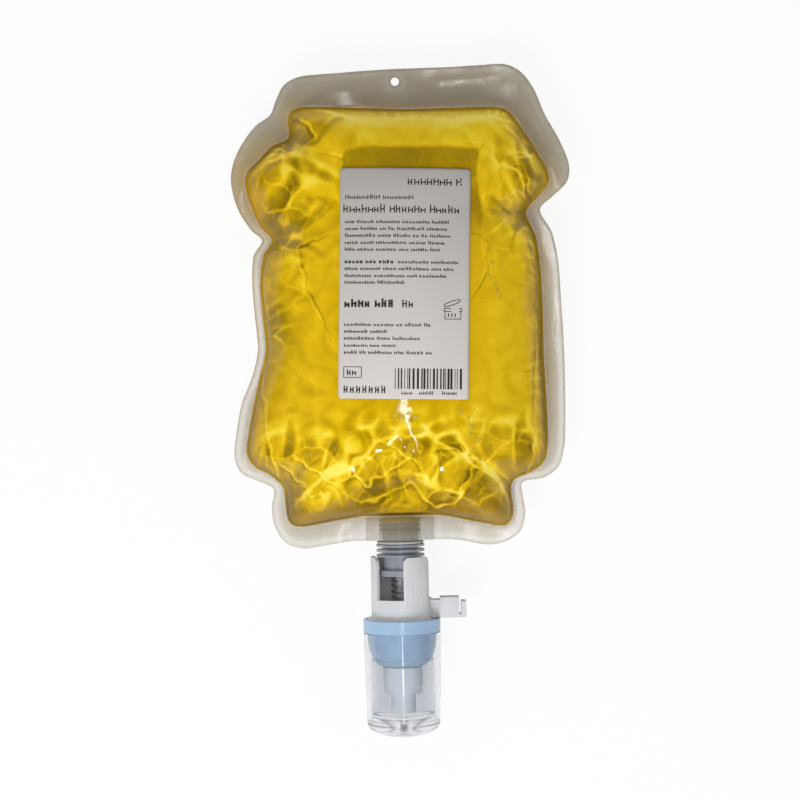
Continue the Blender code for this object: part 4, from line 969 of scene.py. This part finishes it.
def on_label(across, up, lift):
    """Places on the pouch for places on the label, measured from its lower left corner."""
    u, v = np.asarray(across) - LABEL_WIDTH / 2, np.asarray(up) - LABEL_HEIGHT / 2
    x = LABEL_CENTRE.x + u * math.cos(LABEL_TURN) - v * math.sin(LABEL_TURN)
    y = LABEL_CENTRE.y + u * math.sin(LABEL_TURN) + v * math.cos(LABEL_TURN)
    z = SEAM_Z + sample(smooth_front, x, y) + LABEL_LIFT + lift
    return np.column_stack([x, y, z])


smooth_front = blurred(front_rise, 1.2)


def label_piece():
    """The paper, a fine grid laid on the film, with its corners cut round."""
    columns, rows = 48, 84
    across, up = np.meshgrid(np.linspace(0, LABEL_WIDTH, columns + 1), np.linspace(0, LABEL_HEIGHT, rows + 1))
    across, up = across.ravel(), up.ravel()
    centre_u = np.clip(across, LABEL_CORNER, LABEL_WIDTH - LABEL_CORNER)
    centre_v = np.clip(up, LABEL_CORNER, LABEL_HEIGHT - LABEL_CORNER)
    pull = np.minimum(LABEL_CORNER / np.maximum(np.hypot(across - centre_u, up - centre_v), 1e-9), 1)
    across, up = centre_u + (across - centre_u) * pull, centre_v + (up - centre_v) * pull
    first = (np.arange(rows)[:, None] * (columns + 1) + np.arange(columns)).ravel()
    faces = np.column_stack([first, first + 1, first + columns + 2, first + columns + 1])
    piece = new_piece("label_paper", on_label(across, up, 0.0), faces, coated_paper())
    give_wall(piece, LABEL_THICKNESS)
    assign(piece, "pouch", "label")


label_piece()


def printing_ink():
    """Thermal-transfer ink. The eye sees soft black, a little worn and grey where it is thin."""
    ink, place = new_material("printed_black_ink")
    # Worn spots, drawn coarser than they are so that they show.
    wear = add_node(ink, "ShaderNodeTexNoise", {"Vector": place, "Scale": scale_for(0.667), "Detail": 2.0})
    tone = add_node(ink, "ShaderNodeMix", {
        0: wear, 6: linear("#0E0E10"), 7: linear("#2E2D2D")}, data_type="RGBA")
    shader = add_node(ink, "ShaderNodeBsdfPrincipled", {"Base Color": tone, "Roughness": 0.5})
    add_node(ink, "ShaderNodeOutputMaterial", {"Surface": shader})
    return ink


# Generic print: rows of plain marks where a label carries its text. Each row: where it starts and
# ends from the label's left edge, its foot and its height above the lower edge, and its pen width.
PRINT_ROWS = (
    (30.6, 56.2, 96.8, 4.2, 0.56),
    (2.4, 33.6, 90.2, 2.5, 0.36),
    (1.6, 57.0, 84.2, 4.0, 0.55),
    (2.4, 50.2, 79.3, 1.9, 0.36),
    (2.4, 48.6, 76.2, 1.9, 0.36),
    (2.4, 50.8, 73.1, 1.9, 0.36),
    (2.4, 48.4, 69.9, 1.9, 0.36),
    (2.4, 46.4, 66.8, 1.9, 0.36),
    (2.4, 25.0, 61.2, 2.0, 0.52),
    (26.6, 56.0, 61.2, 1.9, 0.36),
    (2.4, 52.2, 58.1, 1.9, 0.36),
    (2.4, 50.8, 54.9, 1.9, 0.36),
    (2.4, 32.0, 51.9, 1.9, 0.36),
    (2.4, 25.2, 41.4, 4.1, 0.95),
    (28.6, 34.4, 41.4, 4.1, 0.62),
    (2.4, 42.8, 32.8, 1.9, 0.36),
    (2.4, 24.2, 29.7, 1.9, 0.36),
    (2.4, 37.0, 26.6, 1.9, 0.36),
    (2.4, 26.8, 23.4, 1.9, 0.36),
    (2.4, 42.8, 20.2, 1.9, 0.36),
    (3.8, 9.4, 10.6, 2.8, 0.55),
    (28.6, 34.2, 2.0, 2.1, 0.34),
    (36.6, 44.4, 2.0, 2.1, 0.34),
    (47.0, 54.6, 2.0, 2.1, 0.34),
)
INK_THICKNESS = 0.03


def unit(vector):
    """A vector of length 1 in the same direction."""
    return vector / max(np.linalg.norm(vector), 1e-9)


def pen_line(start, end, width):
    """The four corners of a straight pen line on the label."""
    start, end = np.array(start, float), np.array(end, float)
    side = unit(end - start)[::-1] * (-width / 2, width / 2)
    return [start + side, end + side, end - side, start - side]


def mark(left, foot, width, height, pen, pick):
    """One mark that can't be read: two uprights of uneven height with a bar between them."""
    x0, x1 = left + pen / 2, left + width - pen / 2
    level = foot + 0.36 * height
    return [
        pen_line((x0, foot), (x0, foot + height * pick.uniform(0.7, 1.0)), pen),
        pen_line((x1, foot), (x1, foot + height * pick.uniform(0.6, 0.9)), pen),
        pen_line((x0 + pen / 2, level), (x1, level + 0.1 * height), pen),
    ]


def printed_rows():
    """Words of a few marks along each row, and the larger marks beside the stripes."""
    pick = np.random.default_rng(41)
    lines = []
    for start, end, foot, height, pen in PRINT_ROWS:
        width = 0.62 * height if height > 3 else 0.72 * height
        place = start
        left_in_word = pick.integers(3, 10)
        while place + width <= end:
            if left_in_word == 0:
                place += 0.6 * width
                left_in_word = pick.integers(2, 10)
                continue
            left_in_word -= 1
            tall = height if pick.random() < 0.3 else 0.74 * height
            lines += mark(place, foot, width * pick.uniform(0.75, 1.0), tall, pen, pick)
            place += width + 0.55 * pen
    for k in range(7):
        lines += mark(2.4 + 2.85 * k, 2.6, 1.8, 3.8, 0.6, pick)
    return lines


def stripes():
    """A block of upright stripes of invented widths, as a scanner's code has."""
    pick = np.random.default_rng(42)
    lines = []
    place, end = 25.6, 56.6
    module = 0.33
    while place < end - 3 * module:
        width = module * pick.integers(1, 4)
        lines.append(pen_line((place + width / 2, 4.6), (place + width / 2, 13.9), width))
        place += width + module * pick.integers(1, 4)
    return lines


def outline_run(points, pen):
    """A pen line from each point to the next."""
    return [pen_line(a, b, pen) for a, b in zip(points, points[1:])]


def jar_sign():
    """A small open jar in outline: a tilted lid over a round pot with a plain panel."""
    lid = []
    for k in range(25):
        a = math.tau * k / 24
        x, y = 4.0 * math.cos(a), 0.85 * math.sin(a)
        lid.append((51.2 + x * 0.94 - y * 0.34, 43.6 + x * 0.34 + y * 0.94))
    lines = outline_run(lid, 0.36)
    lines += outline_run([(47.6, 41.2), (55.6, 41.2), (55.6, 39.9), (47.6, 39.9), (47.6, 41.2)], 0.34)
    lines += outline_run([(48.0, 39.9), (48.0, 36.4), (55.2, 36.4), (55.2, 39.9)], 0.34)
    for k in range(3):
        lines.append(pen_line((49.6 + 1.5 * k, 37.4), (49.6 + 1.5 * k, 39.0), 0.5))
    return lines


def print_piece():
    """All the print as one mesh of thin plates that lie on the paper."""
    lines = printed_rows() + stripes() + jar_sign()
    lines += outline_run([(2.4, 9.6), (10.4, 9.6), (10.4, 14.4), (2.4, 14.4), (2.4, 9.6)], 0.34)
    corners = np.array(lines).reshape(-1, 2)
    foot = on_label(corners[:, 0], corners[:, 1], LABEL_THICKNESS)
    points = np.vstack([foot, foot + (0, 0, INK_THICKNESS)])
    top = len(foot)
    faces = []
    for k in range(0, top, 4):
        low, high = list(range(k, k + 4)), list(range(top + k, top + k + 4))
        faces += [low[::-1], high]
        faces += [(low[i], low[(i + 1) % 4], high[(i + 1) % 4], high[i]) for i in range(4)]
    piece = new_piece("label_print", points, faces, printing_ink())
    shape = bmesh.new()
    shape.from_mesh(piece.data)
    bmesh.ops.recalc_face_normals(shape, faces=shape.faces)
    shape.to_mesh(piece.data)
    shape.free()
    piece.data.shade_flat()
    assign(piece, "pouch")


print_piece()

# Turned mouldings
# The pump's parts are injection mouldings that are round about one axis. Each is turned again from
# the section of its own CAD solid, in finer steps, with smooth curves and softened edges.
TURN_STEPS = 96
GENTLE_TURN = math.radians(35)
EDGE_RADIUS = 0.25


def half_section(node):
    """A turned CAD solid's outline beside its axis, as (radius, place along Y), and whether it is closed."""
    shape = merged_copy(node)
    found = [
        edge for edge in shape.edges
        if all(abs(v.co.z / MM - PUMP_Z) < LEVEL_TOLERANCE and v.co.x / MM > -0.02 for v in edge.verts)
    ]
    run = chained(found)[0]
    corners = [(max(v.co.x / MM, 0.0), v.co.y / MM) for v in run]
    shape.free()
    straight = []
    for i, here in enumerate(corners):
        before, after = corners[i - 1], corners[(i + 1) % len(corners)]
        inner = 0 < i < len(corners) - 1
        bend = (here[0] - before[0]) * (after[1] - here[1]) - (here[1] - before[1]) * (after[0] - here[0])
        if not inner or abs(bend) > 0.001:
            straight.append(here)
    return straight, min(corners[0][0], corners[-1][0]) > 0.01


def fine_outline(corners, closed):
    """An outline whose gentle corners become a smooth curve and whose sharp ones become small roundings."""
    corners = np.array(corners)
    widest = corners[:, 0].max()
    count = len(corners)
    spans = count if closed else count - 1
    run = [corners[(i + 1) % count] - corners[i] for i in range(spans)]
    ahead = [unit(step) for step in run]

    def gentle(i):
        if not closed and i in (0, count - 1):
            return False
        return float(np.dot(ahead[(i - 1) % spans], ahead[i % spans])) > math.cos(GENTLE_TURN)

    points = []
    for i in range(spans):
        here, there = corners[i], corners[(i + 1) % count]
        span = np.linalg.norm(there - here)
        leave = unit(run[i - 1] + run[i]) if gentle(i) else ahead[i]
        arrive = unit(run[i] + run[(i + 1) % spans]) if gentle((i + 1) % count) else ahead[i]
        steps = 4 if gentle(i) or gentle((i + 1) % count) else 1
        for k in range(steps):
            place = curved(k / steps, span, here, there, leave, arrive)
            sharp = k == 0 and not gentle(i) and (closed or i > 0)
            points.append((place, sharp))
    if not closed:
        points.append((corners[-1], False))
    fine = []
    for i, (place, sharp) in enumerate(points):
        if not sharp:
            fine.append(place)
            continue
        back = points[i - 1][0] - place
        onward = points[(i + 1) % len(points)][0] - place
        reach = min(EDGE_RADIUS, 0.4 * np.linalg.norm(back), 0.4 * np.linalg.norm(onward))
        start, end = place + unit(back) * reach, place + unit(onward) * reach
        fine.append(place + unit(back) * reach * 1.2)
        for t in (0, 0.25, 0.5, 0.75, 1):
            fine.append((1 - t) ** 2 * start + 2 * t * (1 - t) * place + t**2 * end)
        fine.append(place + unit(onward) * reach * 1.2)
    return [(min(radius, widest), place) for radius, place in fine]


def turned_shape(outline, closed):
    """A shape turned about the pump's axis from an outline of (radius, place along Y)."""
    shape = bmesh.new()
    turns = [math.tau * k / TURN_STEPS for k in range(TURN_STEPS)]
    rows = []
    for radius, place in outline:
        if radius < 0.01:
            rows.append([shape.verts.new((0, place * MM, PUMP_Z * MM))])
            continue
        rows.append([
            shape.verts.new((radius * math.sin(a) * MM, place * MM, (PUMP_Z + radius * math.cos(a)) * MM))
            for a in turns
        ])
    pairs = list(zip(rows, rows[1:] + rows[:1])) if closed else list(zip(rows, rows[1:]))
    for first, second in pairs:
        for k in range(TURN_STEPS):
            corners = [first[k % len(first)], first[(k + 1) % len(first)]]
            corners += [second[(k + 1) % len(second)], second[k % len(second)]]
            unlike = list(dict.fromkeys(corners))
            if len(unlike) > 2:
                shape.faces.new(unlike)
    bmesh.ops.remove_doubles(shape, verts=shape.verts, dist=0.0005 * MM)
    bmesh.ops.recalc_face_normals(shape, faces=shape.faces)
    return shape


def moulding(name, shape, material):
    """A named object made from a shape."""
    mesh = bpy.data.meshes.new(name + "_moulding")
    shape.to_mesh(mesh)
    shape.free()
    mesh.materials.append(material)
    piece = bpy.data.objects.new(name + "_moulding", mesh)
    bpy.context.scene.collection.objects.link(piece)
    return piece


def turned_piece(name, material, body):
    """A CAD solid turned again, smooth except where it turns by more than a chamfer does."""
    corners, closed = half_section(name)
    piece = moulding(name, turned_shape(fine_outline(corners, closed), closed), material)
    piece.data.shade_smooth()
    piece.data.set_sharp_from_angle(angle=math.radians(40))
    assign(piece, body, name)


def moulded_plastic(name, colour, shade, roughness, alpha=1.0):
    """Moulded polyolefin. The eye sees an even colour, a satin gloss and faint flow marks."""
    plastic, place = new_material(name)
    flow = add_node(plastic, "ShaderNodeTexNoise", {
        "Vector": place, "Scale": scale_for(16.67), "Detail": 3.0})
    tone = add_node(plastic, "ShaderNodeMix", {
        0: flow, 6: linear(colour), 7: linear(shade)}, data_type="RGBA")
    # The grain of the mould, drawn coarser than it is so that it shows.
    grain = add_node(plastic, "ShaderNodeTexNoise", {
        "Vector": place, "Scale": scale_for(0.714), "Detail": 2.0})
    bump = add_node(plastic, "ShaderNodeBump", {"Height": grain, "Strength": 0.06, "Distance": 0.0001})
    shader = add_node(plastic, "ShaderNodeBsdfPrincipled", {
        "Base Color": tone, "Roughness": roughness, "IOR": 1.5, "Alpha": alpha, "Normal": bump})
    add_node(plastic, "ShaderNodeOutputMaterial", {"Surface": shader})
    return plastic


white_plastic = moulded_plastic("white_polypropylene", "#D3D4D6", "#C9CBCE", 0.38)
# The nozzle's white plastic is lighter than the rest: painted light that makes up for the light the clear cap
# holds back.
nozzle_plastic = moulded_plastic("nozzle_painted_light_plastic", "#ECEFF2", "#E2E5E9", 0.34)
blue_plastic = moulded_plastic("pale_blue_polypropylene", "#A1BCD8", "#98B4D0", 0.22)
natural_plastic = moulded_plastic("natural_polyethylene", "#A8ACB6", "#989DA9", 0.22, 0.72)
frosted_plastic = moulded_plastic("frosted_polyethylene", "#968B6A", "#827850", 0.3, 0.25)
# A duller, slightly lighter copy of the white plastic for the sleeve's inside: painted light that lifts the
# shade in its windows.
window_lit_plastic = moulded_plastic("window_lit_polypropylene", "#DADAD6", "#CACAC6", 0.55)
seal_rubber = moulded_plastic("grey_silicone_rubber", "#B4B7BA", "#A6A9AC", 0.6)


def clear_styrene():
    """Clear moulded styrene. The eye sees through it, with bright lines where its walls bend the light."""
    clear, place = new_material("clear_polystyrene")
    flow = add_node(clear, "ShaderNodeTexNoise", {"Vector": place, "Scale": scale_for(9.09), "Detail": 2.0})
    bump = add_node(clear, "ShaderNodeBump", {"Height": flow, "Strength": 0.05, "Distance": 0.0004})
    along = add_node(clear, "ShaderNodeSeparateXYZ", {"Vector": place}).outputs["Y"]
    gate = add_node(clear, "ShaderNodeMapRange", {
        "Value": along, "From Min": cap_low.y + 0.012, "From Max": cap_low.y + 0.004, "To Min": 0.03,
        "To Max": 0.28})
    shader = add_node(clear, "ShaderNodeBsdfPrincipled", {
        "Base Color": linear("#F1F2F4"), "Roughness": gate, "IOR": 1.38, "Transmission Weight": 0.97,
        "Normal": bump})
    shadow = add_node(clear, "ShaderNodeBsdfTransparent", {"Color": linear("#F2F4F5")})
    ray = add_node(clear, "ShaderNodeLightPath")
    mixed = add_node(clear, "ShaderNodeMixShader", {0: ray.outputs["Is Shadow Ray"], 1: shader, 2: shadow})
    add_node(clear, "ShaderNodeOutputMaterial", {"Surface": mixed})
    return clear


clear_plastic = clear_styrene()

for name, material, body, slot in (
    ("neck_gasket", seal_rubber, "pouch", "soft_seal"),
    ("pump_cylinder", natural_plastic, "pouch", "translucent_plastic"),
    ("piston", white_plastic, "actuator", "white_plastic"),
    ("piston_seal", seal_rubber, "actuator", "soft_seal"),
    ("piston_rod", white_plastic, "actuator", "white_plastic"),
    ("outlet_bell", blue_plastic, "actuator", "blue_plastic"),
    ("nozzle", nozzle_plastic, "actuator", "white_plastic"),
    ("transport_cap", clear_plastic, "cap", "clear_plastic"),
):
    turned_piece(name, material, body)

# Spout and drive sleeve
# Both are mouldings that aren't round. Each keeps its CAD form and gets softened edges. The inside of
# the sleeve has a duller grain and a slightly lighter copy of its white plastic: painted light that lifts the
# shade in its windows.
SLEEVE_RADIUS = -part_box("drive_sleeve")[0].x / MM
SLEEVE_BORE = SLEEVE_RADIUS - 1.2


def softened_piece(name, material, body):
    """A CAD solid's form with its flat faces joined and its sharp edges rounded."""
    shape = merged_copy(name)
    bmesh.ops.dissolve_limit(shape, angle_limit=math.radians(0.6), verts=shape.verts, edges=shape.edges)
    piece = moulding(name, shape, material)
    bevel = piece.modifiers.new("edges", "BEVEL")
    bevel.width = EDGE_RADIUS * MM
    bevel.segments = 3
    bevel.limit_method = "ANGLE"
    bevel.angle_limit = math.radians(32)
    apply_modifiers(piece)
    piece.data.shade_smooth()
    piece.data.set_sharp_from_angle(angle=math.radians(35))
    assign(piece, body, name)
    return piece


softened_piece("spout", frosted_plastic, "pouch")
sleeve = softened_piece("drive_sleeve", white_plastic, "actuator")
# The inward faces of the sleeve's lower half take the lighter copy: painted light in the shade of its
# windows.
sleeve.data.materials.append(window_lit_plastic)
for face in sleeve.data.polygons:
    middle = face.center / MM
    from_axis = math.hypot(middle.x, middle.z - PUMP_Z)
    inward = -(face.normal.x * middle.x + face.normal.z * (middle.z - PUMP_Z)) / from_axis
    if from_axis < SLEEVE_BORE and middle.z < PUMP_Z and inward > 0.6:
        face.material_index = 1

for name, material in (
    ("inlet_ball", seal_rubber),
    ("ball_retainer", white_plastic),
    ("outlet_valve", seal_rubber),
):
    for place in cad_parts[name].material_slots:
        place.material = material

# Return spring
# A compression spring of drawn spring steel wire between the cylinder's end and the sleeve's floor.
# Geometry Nodes winds it at rest. On the real pump it is squashed towards the cylinder as the pump is
# pressed.
SPRING_TURNS = 7
SPRING_WIRE = 0.4
spring_low, spring_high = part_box("return_spring")
spring_length = (spring_high.y - spring_low.y) / MM


def spring_wire():
    """Bright drawn steel. The eye sees grey metal with dark and light lines along each turn."""
    wire, place = new_material("drawn_spring_steel")
    # Drawing marks, coarser than the real ones so that they show.
    drawn = add_node(wire, "ShaderNodeTexNoise", {"Vector": place, "Scale": scale_for(0.833), "Detail": 2.0})
    rubbed = add_node(wire, "ShaderNodeMapRange", {"Value": drawn, "To Min": 0.2, "To Max": 0.4})
    tone = add_node(wire, "ShaderNodeMix", {
        0: drawn, 6: linear("#C4C4C6"), 7: linear("#8E8E92")}, data_type="RGBA")
    shader = add_node(wire, "ShaderNodeBsdfPrincipled", {
        "Base Color": tone, "Metallic": 1.0, "Roughness": rubbed})
    add_node(wire, "ShaderNodeOutputMaterial", {"Surface": shader})
    return wire


def spring_piece():
    """The spring, wound by Geometry Nodes along the pump's axis."""
    tree, given, end = geometry_tree("wound_spring", ("Turns", "Coil radius", "Length", "Wire radius"))
    coil = add_node(tree, "GeometryNodeCurveSpiral", {
        "Resolution": 36, "Rotations": given.outputs["Turns"], "Start Radius": given.outputs["Coil radius"],
        "End Radius": given.outputs["Coil radius"], "Height": given.outputs["Length"]})
    round_wire = add_node(tree, "GeometryNodeCurvePrimitiveCircle", {
        "Resolution": 14, "Radius": given.outputs["Wire radius"]})
    drawn = add_node(tree, "GeometryNodeCurveToMesh", {
        "Curve": coil, "Profile Curve": round_wire, "Fill Caps": True})
    turned = add_node(tree, "GeometryNodeTransform", {
        "Geometry": drawn, "Rotation": (math.pi / 2, 0, 0),
        "Translation": (0, spring_high.y - SPRING_WIRE * MM, PUMP_Z * MM)})
    finish_tree(tree, end, turned, spring_wire())
    sizes = {
        "Turns": float(SPRING_TURNS),
        "Coil radius": spring_high.x - SPRING_WIRE * MM,
        "Length": (spring_length - 2 * SPRING_WIRE) * MM,
        "Wire radius": SPRING_WIRE * MM,
    }
    piece = grown_piece("spring_coil", bpy.data.meshes.new("spring_coil"), tree, sizes)
    assign(piece, "pouch", "return_spring")
    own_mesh(piece)


spring_piece()

# Table, light and camera
# A white table top under a soft lamp, a strip and a small lamp, in a pale room. The camera looks straight
# down at the pack. The large lamp isn't seen in glossy surfaces, where the strip draws one thin line.
TABLE_SIZE = 14.0
TABLE_DROP = 0.0004
CAMERA_PLACE = (0.0013, -0.0462, 0.95)
CAMERA_TURN = math.radians(-1.2)
CAMERA_LENS = 89.2


def table_top():
    """White matt board. The eye sees plain white with the soft shadow of the pack."""
    board, _ = new_material("white_table_board")
    shader = add_node(board, "ShaderNodeBsdfPrincipled", {"Base Color": linear("#F2F2F2"), "Roughness": 0.9})
    white = add_node(board, "ShaderNodeEmission", {"Color": (1, 1, 1, 1), "Strength": 1.0})
    ray = add_node(board, "ShaderNodeLightPath")
    seen = add_node(board, "ShaderNodeMath", {
        0: ray.outputs["Is Camera Ray"], 1: ray.outputs["Is Transmission Ray"]}, operation="MAXIMUM")
    share = add_node(board, "ShaderNodeMath", {0: seen, 1: 0.9}, operation="MULTIPLY")
    mixed = add_node(board, "ShaderNodeMixShader", {0: share, 1: shader, 2: white})
    add_node(board, "ShaderNodeOutputMaterial", {"Surface": mixed})
    bpy.ops.mesh.primitive_plane_add(size=TABLE_SIZE, location=(0, 0, -TABLE_DROP))
    table = bpy.context.object
    table.name = "table_top"
    table.data.materials.append(board)


def soft_lamp(name, place, aim, width, length, power):
    """A flat lamp that faces a place on the pack."""
    lamp = bpy.data.lights.new(name, "AREA")
    lamp.shape = "RECTANGLE"
    lamp.size = width
    lamp.size_y = length
    lamp.energy = power
    made = bpy.data.objects.new(name, lamp)
    made.location = place
    made.rotation_euler = (Vector(aim) - Vector(place)).to_track_quat("-Z", "Y").to_euler()
    bpy.context.scene.collection.objects.link(made)
    return made


table_top()
key = soft_lamp("key_lamp", (-0.35, -0.75, 1.05), (0, -0.04, 0.02), 0.5, 0.5, 8.0)
key.visible_glossy = False
key.visible_transmission = False
soft_lamp("strip_lamp", (0.016, -0.07, 1.0), (0.016, -0.07, 0), 0.03, 0.6, 1.35)
soft_lamp("spark_lamp", (-0.25, -0.55, 0.9), (0, -0.04, 0.02), 0.05, 0.05, 0.8)

world = bpy.data.worlds.new("pale_room")
world.use_nodes = True
world.node_tree.nodes.clear()
# The ceiling is dim, and glossy rays see the whole room darker, so that the film shows few reflections.
toward = add_node(world, "ShaderNodeTexCoord").outputs["Generated"]
upward = add_node(world, "ShaderNodeSeparateXYZ", {"Vector": toward}).outputs["Z"]
ceiling = add_node(world, "ShaderNodeMapRange", {
    "Value": upward, "From Min": 0.78, "From Max": 0.93, "To Min": 0.70, "To Max": 0.12})
ray = add_node(world, "ShaderNodeLightPath").outputs["Is Glossy Ray"]
dimmed = add_node(world, "ShaderNodeMapRange", {"Value": ray, "To Min": 1.0, "To Max": 0.22})
strength = add_node(world, "ShaderNodeMath", {0: ceiling, 1: dimmed}, operation="MULTIPLY")
room = add_node(world, "ShaderNodeBackground", {"Color": linear("#F4F6F8"), "Strength": strength})
add_node(world, "ShaderNodeOutputWorld", {"Surface": room})
bpy.context.scene.world = world

lens = bpy.data.cameras.new("overhead_camera")
lens.lens = CAMERA_LENS
lens.sensor_width = 36
camera = bpy.data.objects.new("overhead_camera", lens)
camera.location = CAMERA_PLACE
camera.rotation_euler = (0, 0, CAMERA_TURN)
bpy.context.scene.collection.objects.link(camera)
bpy.context.scene.camera = camera
bpy.context.scene.view_settings.view_transform = "Standard"
